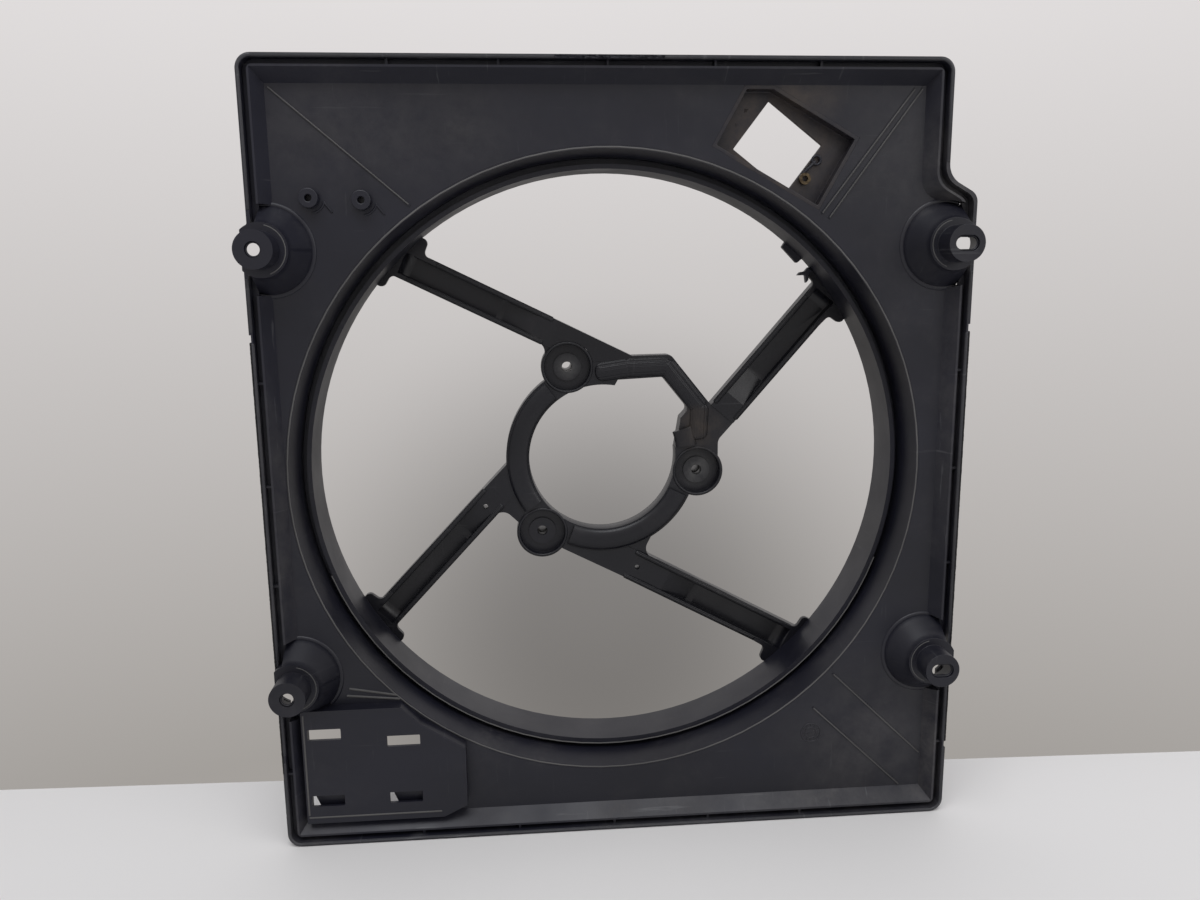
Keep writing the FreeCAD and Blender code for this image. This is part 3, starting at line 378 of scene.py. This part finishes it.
def keep(piece, name, finish):
    bpy.ops.object.transform_apply(location=True, rotation=True, scale=True)
    bpy.ops.object.shade_smooth_by_angle(angle=math.radians(SMOOTH_ANGLE))
    piece.name = name
    piece.data.name = name
    piece.data.materials.append(finish)
    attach(piece, "root")
    print(name, len(piece.data.polygons), "faces")

# %% [markdown]
# ### A bead round a centre
# The section starts as a circle that stands across the path. Scaling it along Y squashes it, and the
# spin tool sweeps it along the arc. For a full turn the circle is open, because its two ends meet and
# are merged.

# %% Bead round a centre
SECTION_SIDES = 16
STEP_DEGREES = 4


def curved_bead(name, finish, centre, radius, forward, half, rise, start=0, end=360):
    """A bead round a centre, between two directions in degrees."""
    start_fresh()
    whole = end - start >= 360
    turn = math.radians(start)
    place = (centre[0] + radius * math.cos(turn), -forward, centre[1] + radius * math.sin(turn))
    bpy.ops.mesh.primitive_circle_add(
        vertices=SECTION_SIDES, radius=half * MM, fill_type="NOTHING" if whole else "NGON",
        location=[value * MM for value in place], rotation=(0, -turn, 0))
    piece = bpy.context.object
    piece.scale = (1, rise / half, 1)
    bpy.ops.object.transform_apply(location=True, rotation=True, scale=True)
    bpy.ops.object.mode_set(mode="EDIT")
    bpy.ops.mesh.select_all(action="SELECT")
    bpy.ops.mesh.spin(
        steps=max(8, int((end - start) / STEP_DEGREES)), angle=math.radians(end - start),
        center=(centre[0] * MM, 0, centre[1] * MM), axis=(0, 1, 0))
    close_seams()
    keep(piece, name, finish)

# %% [markdown]
# ### A straight bead
# A cylinder is made along Z, and the edges of its two end faces are bevelled until they are round. It is
# then turned so that its Z runs from one point to the other, and squashed across.

# %% Straight bead
ROUND_END = 0.7


def straight_bead(name, finish, first, last, half, rise):
    """A bead with round ends between two points, given as x, forward, z."""
    start_fresh()
    first = Vector((first[0], -first[1], first[2])) * MM
    last = Vector((last[0], -last[1], last[2])) * MM
    along = (last - first).normalized()
    side = Vector((0, 1, 0)).cross(along).normalized()
    turn = Matrix((side, along.cross(side), along)).transposed()
    length = (last - first).length + half * MM
    bpy.ops.mesh.primitive_cylinder_add(vertices=SECTION_SIDES, radius=half * MM, depth=length)
    piece = bpy.context.object
    for face in piece.data.polygons:
        face.select = abs(face.normal.z) > 0.9
    bpy.ops.object.mode_set(mode="EDIT")
    bpy.ops.mesh.select_mode(type="FACE")
    bpy.ops.mesh.bevel(offset=half * ROUND_END * MM, segments=3, affect="EDGES")
    bpy.ops.object.mode_set(mode="OBJECT")
    piece.scale = (1, rise / half, 1)
    piece.rotation_euler = turn.to_euler()
    piece.location = (first + last) / 2
    keep(piece, name, finish)

# %% [markdown]
# ## Motor ring
# The front of the ring is a raised band with a rounded section. It breaks off at the three bowls of the
# motor's feet, and takes an angular way round the motor's plug. A thin lip runs round each bowl.

# %% Band and lips
BAND_RADIUS = 67
BAND_HALF = 8.4
BAND_RISE = 3.2
BAND_ARCS = ((127, 214), (247, 334), (7, 19))
RING_FRONT = 5
PLUG_HALF = 6.6
PLUG_RISE = 2.9
FOOT_CIRCLE = 76.7
FOOT_DIRECTIONS = (110.5, 230.5, 350.5)
BOWL_LIP = 18.9
BOWL_LIP_HALF = 1.1
BOWL_LIP_RISE = 1.0
for number, (start, end) in enumerate(BAND_ARCS, 1):
    curved_bead(f"ring_band_{number}", ring_finish, (0, 0), BAND_RADIUS, RING_FRONT,
                BAND_HALF, BAND_RISE, start, end)
PLUG_WAY = ((-2, 67.5), (20, 70.5), (51, 71.5), (77, 39), (76, 16))
for number, (first, last) in enumerate(zip(PLUG_WAY, PLUG_WAY[1:]), 1):
    straight_bead(f"plug_band_{number}", ring_finish,
                  (first[0], RING_FRONT, first[1]), (last[0], RING_FRONT, last[1]), PLUG_HALF, PLUG_RISE)
for number, direction in enumerate(FOOT_DIRECTIONS, 1):
    turn = math.radians(direction)
    foot = (FOOT_CIRCLE * math.cos(turn), FOOT_CIRCLE * math.sin(turn))
    curved_bead(f"bowl_lip_{number}", ring_finish, foot, BOWL_LIP, RING_FRONT, BOWL_LIP_HALF, BOWL_LIP_RISE)

# %% [markdown]
# ## Arms
# Each arm is a trough between two walls. On the real part the walls are rounded over, which draws two
# soft lines of light along the arm. A bead on top of each wall gives that, and follows the arm's slope
# from the ring to the duct.

# %% Rounded walls of the arms
# direction in degrees, distance of the middle line from the fan axis, width, start along the arm
ARM_LINES = {
    "arm_upper_left": (153.7, -71.3, 21.6, 82),
    "arm_upper_right": (50.1, -51.8, 23.4, 90),
    "arm_lower_left": (226.1, -41.7, 21.0, 82),
    "arm_lower_right": (-27.5, -68.2, 23.9, 60),
}
DUCT_BORE = 215.5
DUCT_BACK = 16
ARM_WALL = 2.6
RING_OUTER = 76
WALL_BEAD_SINK = 0.6
WALL_BEAD = (1.9, 1.7)
DUCT_CLEARANCE = 6


def arm_front(distance):
    share = max(0, (distance - RING_OUTER) / (DUCT_BORE - RING_OUTER))
    return RING_FRONT + (DUCT_BACK - RING_FRONT) * share


for name, (direction, offset, width, start) in ARM_LINES.items():
    turn = math.radians(direction)
    for word, side in (("outer", -1), ("inner", 1)):
        across = offset + (width - ARM_WALL) / 2 * side
        end = math.sqrt(DUCT_BORE ** 2 - across ** 2) - DUCT_CLEARANCE
        ends = []
        for along in (start, end):
            x = math.cos(turn) * along - math.sin(turn) * across
            z = math.sin(turn) * along + math.cos(turn) * across
            ends.append((x, arm_front(along) - WALL_BEAD_SINK, z))
        straight_bead(f"{name}_{word}_wall", arm_finish, *ends, *WALL_BEAD)

# %% [markdown]
# ## Mounting posts
# A mounting post grows out of the panel in a soft mound, so a low bead runs round its foot. The shoulder
# has a thin pale edge line, partly dust and partly a painted highlight. The hole narrows to a collar a
# little behind the face; the slot of the right posts has the same collar, drawn out sideways.

# %% Feet, shoulders and collars
POST_LEFT_INSET = 13.5
POST_RIGHT_INSET = 17.5
left_line = cad_low[0] / MM + POST_LEFT_INSET
right_line = cad_high[0] / MM - POST_RIGHT_INSET
# x, z, and the arc of the mound's foot that is not cut off by the rim or the pad
POSTS = {
    "upper_left": (left_line, 160.5, -104, 104),
    "lower_left": (left_line, -144.5, -44, 104),
    "upper_right": (right_line, 160.5, 72, 286),
    "lower_right": (right_line, -144.5, 72, 286),
}
COLLAR = 4.7
COLLAR_HALF = 0.7
COLLAR_DEPTH = 1.1
COLLAR_PLACE = 107.6
SLOT_REACH = 3.1
# radius, distance forward, half width and rise of a bead
FOOT_BEAD = (30.1, 71.6, 2.1, 1.5)
SHOULDER_BEAD = (16.2, 91.7, 0.5, 0.45)
# the part of a shoulder that faces the fan
LEFT_SHOULDER = (-70, 78)
RIGHT_SHOULDER = (102, 250)
for name, (x, z, start, end) in POSTS.items():
    curved_bead(f"post_foot_{name}", panel_finish, (x, z), *FOOT_BEAD, start, end)
    facing_in = LEFT_SHOULDER if name.endswith("left") else RIGHT_SHOULDER
    curved_bead(f"post_shoulder_{name}", fold_dust_and_highlight_finish, (x, z), *SHOULDER_BEAD, *facing_in)
    if name.endswith("left"):
        curved_bead(f"post_collar_{name}", post_finish, (x, z), COLLAR, COLLAR_PLACE,
                    COLLAR_HALF, COLLAR_DEPTH)
        continue
    curved_bead(f"slot_end_{name}_1", post_finish, (x - SLOT_REACH, z), COLLAR, COLLAR_PLACE,
                COLLAR_HALF, COLLAR_DEPTH, 90, 270)
    curved_bead(f"slot_end_{name}_2", post_finish, (x + SLOT_REACH, z), COLLAR, COLLAR_PLACE,
                COLLAR_HALF, COLLAR_DEPTH, -90, 90)
    for number, side in enumerate((-1, 1), 1):
        straight_bead(f"slot_side_{name}_{number}", post_finish,
                      (x - SLOT_REACH, COLLAR_PLACE, z + COLLAR * side),
                      (x + SLOT_REACH, COLLAR_PLACE, z + COLLAR * side), COLLAR_HALF, COLLAR_DEPTH)

# %% [markdown]
# ### A plate
# A plate is a cube at its size and place with its edges bevelled. The bisect tool can cut it off along a
# slant, and fills the cut, so the plate stays closed.

# %% Plate
PLATE_EDGE = 0.3


def plate(name, finish, low, high, cut=None):
    """A thin plate between two corners, given as x, forward, z, and cut off along a slant if asked."""
    start_fresh()
    low, high = Vector((low[0], -high[1], low[2])) * MM, Vector((high[0], -low[1], high[2])) * MM
    bpy.ops.mesh.primitive_cube_add(size=1, location=(low + high) / 2, scale=high - low)
    piece = bpy.context.object
    bpy.ops.object.transform_apply(location=True, rotation=True, scale=True)
    bpy.ops.object.mode_set(mode="EDIT")
    bpy.ops.mesh.select_all(action="SELECT")
    if cut:
        place, direction = cut
        bpy.ops.mesh.bisect(
            plane_co=(place[0] * MM, 0, place[1] * MM), plane_no=(direction[0], 0, direction[1]),
            use_fill=True, clear_outer=True)
        bpy.ops.mesh.select_all(action="SELECT")
    bpy.ops.mesh.bevel(offset=PLATE_EDGE * MM, segments=2, affect="EDGES")
    close_seams()
    keep(piece, name, finish)

# %% [markdown]
# ## Controller pad
# The pad has a fold line inside its left and lower edges, and two faint folds run along the panel above
# it. The lower slots are filled by hooks, so only a small wedge of each stays open. Thin infills close
# the corners between the pad and the panel, and beside the lower left post.

# %% Folds, hooks and infills
PAD_FRONT = 82
PANEL_FRONT = 72
# half width and rise of a fold
PAD_FOLD = (0.6, 0.35)
PANEL_FOLD = (0.8, 0.5)
SLOT_LEFT_ENDS = (-224.5, -167.5)
# The fold beads are pale, partly dust and partly a painted highlight.
straight_bead("pad_fold_left", fold_dust_and_highlight_finish,
              (-226.8, PAD_FRONT, -249), (-226.8, PAD_FRONT, -170), *PAD_FOLD)
straight_bead("pad_fold_low", fold_dust_and_highlight_finish,
              (-226.8, PAD_FRONT, -251), (-130, PAD_FRONT, -251), *PAD_FOLD)
straight_bead("panel_fold_1", fold_dust_and_highlight_finish,
              (-196, PANEL_FRONT, -160.5), (-158, PANEL_FRONT, -164.5), *PANEL_FOLD)
straight_bead("panel_fold_2", fold_dust_and_highlight_finish,
              (-194, PANEL_FRONT, -155), (-160, PANEL_FRONT, -161.5), *PANEL_FOLD)
for number, left in enumerate(SLOT_LEFT_ENDS, 1):
    plate(f"controller_hook_{number}", post_finish, (left + 1, 75.5, -244), (left + 26, 77.5, -232),
          cut=((left + 3.0, -238), (-1, -0.4)))
plate("pad_corner_infill", panel_finish, (-129, 69.6, -257), (-110.3, 71.9, -246.8))
curved_bead("pad_edge_infill", panel_finish, (0, 0),
            radius=229.2, forward=70.4, half=2.2, rise=1.3, start=224.5, end=243)
plate("pad_post_infill", panel_finish, (-236, 71, -178), (-222, 73.5, -162.5))
plate("post_end_infill", rim_finish, (-242.6, 73.0, -134), (-234.5, 75.3, -123))

# %% [markdown]
# ## Folds and funnel edge
# The crests of the panel's folds, the outer edge of the funnel and the edge of the groove read as pale
# lines, partly from dust that stays on them and partly from a painted highlight for the light they catch. A
# hair-thin bead in a pale finish of dust and painted highlight lies on each.

# %% Pale fold lines
FOLD_FRONT = PANEL_FRONT + 0.6
FOLD_LINE = (0.45, 0.4)
FOLDS = (
    ((-222, 265), (-135, 190.4)), ((217.6, 265), (155.4, 180)), ((212.2, 265), (150.2, 183)),
    ((240, -228.3), (170, -160.5)), ((225, -254.5), (155.2, -187.5)),
)
for number, (first, last) in enumerate(FOLDS, 1):
    straight_bead(f"panel_fold_line_{number}", fold_dust_and_highlight_finish,
                  (first[0], FOLD_FRONT, first[1]), (last[0], FOLD_FRONT, last[1]), *FOLD_LINE)
curved_bead("funnel_edge", fold_dust_and_highlight_finish, (0, 0),
            radius=227.5, forward=PANEL_FRONT - 0.1, half=0.6, rise=0.4)
curved_bead("groove_edge", fold_dust_and_highlight_finish, (0, 0),
            radius=219.4, forward=50.2, half=0.5, rise=0.5, start=200, end=340)

# %% [markdown]
# ## Lip
# The lip round the edge is rounded over, and years of handling have polished and scuffed it. Its lighter
# colour is a painted highlight: the thin line of light that the lip catches. It stops at the posts and
# leaves the notches at the ends of the sealing strips open.

# %% Rounded lip
LIP_HALF = 1.2
LIP_FRONT = 83.4
CORNER = 10
LIP_INSET = 1.35
STRIP_LIP_INSET = 1.75
left_edge, right_edge = cad_low[0] / MM, cad_high[0] / MM
low_edge, top_edge = cad_low[2] / MM, cad_high[2] / MM
LEFT_STEP = 4
RIGHT_STEP = 21
upper_left_edge = left_edge + LEFT_STEP
upper_right_edge = right_edge - RIGHT_STEP
left_strip_lip = left_edge + STRIP_LIP_INSET
right_strip_lip = right_edge - STRIP_LIP_INSET
UPRIGHTS = (
    ("left_1", left_edge + LIP_INSET, low_edge + CORNER, -206),
    ("left_2", left_strip_lip, -199, -163.5),
    ("left_3", left_strip_lip, -125.5, 99),
    ("left_4", left_edge + LIP_INSET, 107, 141.5),
    ("left_5", upper_left_edge + LIP_INSET, 187, top_edge - CORNER),
    ("right_1", right_edge - LIP_INSET, low_edge + CORNER, -220),
    ("right_2", right_strip_lip, -213, -163.5),
    ("right_3", right_strip_lip, -125.5, 99),
    ("right_4", right_edge - LIP_INSET, 107, 141.5),
    ("right_5", upper_right_edge - LIP_INSET, 216, top_edge - CORNER),
)
for name, x, low_end, high_end in UPRIGHTS:
    straight_bead(f"lip_{name}", lip_wear_and_highlight_finish, (x, LIP_FRONT, low_end), (x, LIP_FRONT, high_end),
                  LIP_HALF, LIP_HALF)
straight_bead("lip_top", lip_wear_and_highlight_finish, (upper_left_edge + CORNER, LIP_FRONT, top_edge - LIP_INSET),
              (upper_right_edge - CORNER, LIP_FRONT, top_edge - LIP_INSET), LIP_HALF, LIP_HALF)
straight_bead("lip_bottom", lip_wear_and_highlight_finish, (left_edge + CORNER, LIP_FRONT, low_edge + LIP_INSET),
              (right_edge - CORNER, LIP_FRONT, low_edge + LIP_INSET), LIP_HALF, LIP_HALF)
CORNERS = (
    ("low_left", left_edge + CORNER, low_edge + CORNER, 180),
    ("low_right", right_edge - CORNER, low_edge + CORNER, 270),
    ("top_right", upper_right_edge - CORNER, top_edge - CORNER, 0),
    ("top_left", upper_left_edge + CORNER, top_edge - CORNER, 90),
)
for name, x, z, start in CORNERS:
    curved_bead(f"lip_{name}", lip_wear_and_highlight_finish, (x, z), CORNER - LIP_INSET, LIP_FRONT,
                LIP_HALF, LIP_HALF, start, start + 90)

# %% [markdown]
# ## Small marks of the mould
# A date dial is a ring with a pointer that the mould leaves on the part. This one is plain: two rings
# and twelve ticks with no figures. The two small bosses have a short curved rib beside them.

# %% Date dial and boss ribs
DIAL = (153.5, -207.6)
DIAL_RINGS = (7.5, 4.2)
TICKS = 12
TICK_ENDS = (5.2, 6.4)
# half width and rise of each bead
DIAL_BEAD = (0.5, 0.45)
TICK_BEAD = (0.3, 0.35)
POINTER_BEAD = (0.5, 0.5)
TAIL_BEAD = (0.8, 0.8)
for number, radius in enumerate(DIAL_RINGS, 1):
    curved_bead(f"date_dial_ring_{number}", panel_finish, DIAL, radius, PANEL_FRONT, *DIAL_BEAD)
for number in range(TICKS):
    turn = math.radians(number * 360 / TICKS)
    ends = []
    for radius in TICK_ENDS:
        ends.append((DIAL[0] + radius * math.cos(turn), PANEL_FRONT, DIAL[1] + radius * math.sin(turn)))
    straight_bead(f"date_dial_tick_{number + 1}", panel_finish, *ends, *TICK_BEAD)
straight_bead("date_dial_pointer", panel_finish, (DIAL[0] - 2.4, PANEL_FRONT, DIAL[1] - 1.2),
              (DIAL[0] + 2.4, PANEL_FRONT, DIAL[1] + 1.2), *POINTER_BEAD)
for name in ("small_boss_outer", "small_boss_inner"):
    low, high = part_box(name)
    centre = ((low[0] + high[0]) / 2 / MM, (low[2] + high[2]) / 2 / MM)
    curved_bead(f"{name}_rib", post_finish, centre,
                radius=9.4, forward=PANEL_FRONT, half=0.8, rise=0.9, start=275, end=345)
    straight_bead(f"{name}_tail", post_finish, (centre[0] + 9, PANEL_FRONT, centre[1] - 2.5),
                  (centre[0] + 14, PANEL_FRONT, centre[1] - 9), *TAIL_BEAD)

# %% [markdown]
# ## Window fittings
# Beside the window a spring clip of wire holds on to the brass insert, and two snapped-off tabs stick
# out of the window's left edge.

# %% Spring clip and tabs
TRAY_FLOOR = 62
WIRE_FRONT = TRAY_FLOOR + 1.5
TAB_THICKNESS = 2
TAB_SLANT = (0.8, -0.6)
straight_bead("spring_clip_leg", duct_finish,
              (146.4, WIRE_FRONT, 218.4), (138.0, WIRE_FRONT, 210.3), half=1.0, rise=1.0)
curved_bead("spring_clip_eye", duct_finish, (147.4, 219.4),
            radius=3.0, forward=WIRE_FRONT, half=0.9, rise=0.9)
plate("window_tab_1", tray_finish, (95.5, TRAY_FLOOR - TAB_THICKNESS, 251), (101, TRAY_FLOOR, 254),
      cut=((98.5, 252.5), TAB_SLANT))
plate("window_tab_2", tray_finish, (89, TRAY_FLOOR - TAB_THICKNESS, 241.5), (94.5, TRAY_FLOOR, 244.5),
      cut=((92, 243), TAB_SLANT))

# %% [markdown]
# ### A torn edge
# A torn edge is a thin bar. Only its long edges are divided, many times, and then every point is moved a
# little at random. The seed makes the random moves the same on each run.

# %% Torn edge
def torn_edge(name, finish, low, high, cuts, roughness, seed):
    """A strip with a rough, torn outline, between two corners given as x, y, z."""
    start_fresh()
    low, high = Vector(low) * MM, Vector(high) * MM
    longest = max(range(3), key=lambda axis: high[axis] - low[axis])
    bpy.ops.mesh.primitive_cube_add(size=1, location=(low + high) / 2, scale=high - low)
    piece = bpy.context.object
    bpy.ops.object.transform_apply(location=True, rotation=True, scale=True)
    for edge in piece.data.edges:
        first, last = (piece.data.vertices[index].co for index in edge.vertices)
        edge.select = abs(first[longest] - last[longest]) > (high[longest] - low[longest]) / 2
    bpy.ops.object.mode_set(mode="EDIT")
    bpy.ops.mesh.select_mode(type="EDGE")
    bpy.ops.mesh.subdivide(number_cuts=cuts)
    bpy.ops.mesh.select_all(action="SELECT")
    bpy.ops.transform.vertex_random(offset=roughness * MM, seed=seed)
    close_seams()
    keep(piece, name, finish)

# %% [markdown]
# ## Worn edges
# The lip is chipped in the middle of the top edge, and the sealing strips have a rough edge that looks
# torn. Each is a thin bar that is divided many times along its length and then shaken a little at
# random.

# %% Chips and torn strips
torn_edge("top_chips", rim_finish, (-35, -84.8, top_edge - 2.4), (37, -83.4, top_edge - 0.6),
          cuts=40, roughness=0.45, seed=4)
for name, seed in (("seal_strip_left", 7), ("seal_strip_right", 9)):
    low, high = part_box(name)
    inner = (low[0] + high[0]) / 2 / MM
    torn_edge(f"{name}_torn_edge", strip_finish, (inner - 0.3, low[1] / MM - 0.6, low[2] / MM + 1),
              (inner + 0.3, low[1] / MM + 1, high[2] / MM - 1), cuts=110, roughness=0.35, seed=seed)

# %% [markdown]
# ## Floor
# The shroud stands on a pale floor with a few specks of dirt. The floor is a plane whose back edge runs
# along the foot of the wall, a little askew.

# %% Floor
floor_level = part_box("rim_bottom")[0][2] - 0.0002
FLOOR_TURN = -0.0374
FLOOR_CENTRE = -1.9982
FLOOR_SIZE = (8, 4, 1)
FLOOR_COLOURS = ((0.71, 0.69, 0.675), (0.77, 0.75, 0.74))
DIRT = (0.16, 0.15, 0.14)
bpy.ops.object.select_all(action="DESELECT")
bpy.ops.mesh.primitive_plane_add(size=1)
floor = bpy.context.object
floor.name = "floor"
floor.scale = FLOOR_SIZE
floor.location = (0, FLOOR_CENTRE, floor_level)
floor.rotation_euler = (0, 0, FLOOR_TURN)
material, tree, shader = new_material("pale_floor")
spots = ramp(tree, noise(tree, 3, 5), 0.3, 0.7, 0, 1)
pale = mix(tree, spots, *FLOOR_COLOURS)
dirt = ramp(tree, noise(tree, 34, 6, (1, 2.2, 1), 0.66), 0.585, 0.65, 0, 0.6)
dirt = maths(tree, "MULTIPLY", dirt, near(tree, (330, -90, -272), 420, (1, 0.8, 1)))
tree.links.new(mix(tree, dirt, pale, DIRT), shader.inputs["Base Color"])
shader.inputs["Roughness"].default_value = 0.6
floor.data.materials.append(material)
floor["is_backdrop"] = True
print("floor level:", round(floor_level, 4))

# %% [markdown]
# ## Backdrop
# The wall is only a colour, seen past the floor's far edge. It is lighter at the top, and darker behind the
# shroud, where a painted shadow of the shroud lies on the wall. Light Path gives that colour to what the
# camera sees, straight or in metal, and a plain even light to the rest, so the wall's brightness does not
# light the object.

# %% Backdrop
WALL_LOW = (0.365, 0.345, 0.325)
WALL_HIGH = (0.77, 0.745, 0.745)
WALL_RANGE = (-0.45, 0.28)
# The darker patch round this direction is the painted shadow of the shroud on the wall.
SHADE_CENTRE = (0.0715, 0.933, -0.353)
SHADE_RANGE = (0.05, 0.36)
SHADE_DEPTH = 0.50
SKY = (0.96, 0.97, 1.0, 1)
SKY_STRENGTH = 0.5
world = bpy.data.worlds.new("studio")
scene.world = world
world.use_nodes = True
tree = world.node_tree
tree.nodes.clear()
output = tree.nodes.new("ShaderNodeOutputWorld")
wall = tree.nodes.new("ShaderNodeBackground")
light = tree.nodes.new("ShaderNodeBackground")
choice = tree.nodes.new("ShaderNodeMixShader")
path = tree.nodes.new("ShaderNodeLightPath")
direction = tree.nodes.new("ShaderNodeTexCoord")
parts = tree.nodes.new("ShaderNodeSeparateXYZ")
tree.links.new(direction.outputs["Generated"], parts.inputs[0])
height = ramp(tree, parts.outputs[2], *WALL_RANGE, 0, 1)
plain = mix(tree, height, WALL_LOW, WALL_HIGH)
away = tree.nodes.new("ShaderNodeVectorMath")
away.operation = "DISTANCE"
away.inputs[1].default_value = SHADE_CENTRE
tree.links.new(direction.outputs["Generated"], away.inputs[0])
shade = tree.nodes.new("ShaderNodeMapRange")
shade.interpolation_type = "SMOOTHSTEP"
shade.inputs["From Min"].default_value = SHADE_RANGE[0]
shade.inputs["From Max"].default_value = SHADE_RANGE[1]
shade.inputs["To Min"].default_value = SHADE_DEPTH
shade.inputs["To Max"].default_value = 0.0
tree.links.new(away.outputs["Value"], shade.inputs[0])
tree.links.new(mix(tree, shade.outputs[0], plain, (0.0, 0.0, 0.0)), wall.inputs[0])
light.inputs[0].default_value = SKY
light.inputs[1].default_value = SKY_STRENGTH
seen = maths(tree, "MAXIMUM", path.outputs["Is Camera Ray"], path.outputs["Is Glossy Ray"])
seen = maths(tree, "MAXIMUM", seen, path.outputs["Is Transmission Ray"])
tree.links.new(seen, choice.inputs[0])
tree.links.new(light.outputs[0], choice.inputs[1])
tree.links.new(wall.outputs[0], choice.inputs[2])
tree.links.new(choice.outputs[0], output.inputs[0])
print("backdrop nodes:", len(tree.nodes))

# %% [markdown]
# ## Lamps
# A wide lamp under the ceiling gives the soft main light, and a weaker one at the right opens up the
# shadows. Area lamps are used because their size is what makes a shadow's edge soft.

# %% Lamps
def area_light(name, place, target, size, power, colour=(1, 1, 1)):
    data = bpy.data.lights.new(name, "AREA")
    data.shape = "RECTANGLE"
    data.size, data.size_y = size
    data.energy = power
    data.color = colour
    lamp = bpy.data.objects.new(name, data)
    scene.collection.objects.link(lamp)
    lamp.location = place
    lamp.rotation_euler = (Vector(target) - Vector(place)).to_track_quat("-Z", "Y").to_euler()


area_light("ceiling", (-0.3, -1.2, 2.2), (0, 0, 0), size=(2.0, 1.2), power=36, colour=(0.95, 0.97, 1.0))
area_light("fill", (1.6, -1.4, 0.9), (0, 0, 0), size=(1.2, 1.2), power=9)
print("lamps:", len(bpy.data.lights))

# %% [markdown]
# ## Camera
# The camera stands a little to the left and looks slightly down. Its turn is given by where its right
# and its up point, because these two directions and their cross product are the three columns of its
# rotation matrix.

# %% Camera
camera_data = bpy.data.cameras.new("camera")
camera_data.sensor_width = 36
camera_data.lens = 28.5
camera = bpy.data.objects.new("camera", camera_data)
scene.collection.objects.link(camera)
camera.location = (-0.0600, -0.7393, 0.1434)
right = Vector((0.99669, -0.08058, -0.01105))
up = Vector((0.02558, 0.18164, 0.98303))
camera.rotation_euler = Matrix((right, up, right.cross(up))).transposed().to_euler()
scene.camera = camera
scene.view_settings.view_transform = "Standard"
print("lens:", camera_data.lens)

# %% [markdown]
# ## Sizes
# The box of the dressed model is measured at the end, as the box of the imported one was at the start.

# %% Sizes, and the end
low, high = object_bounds()
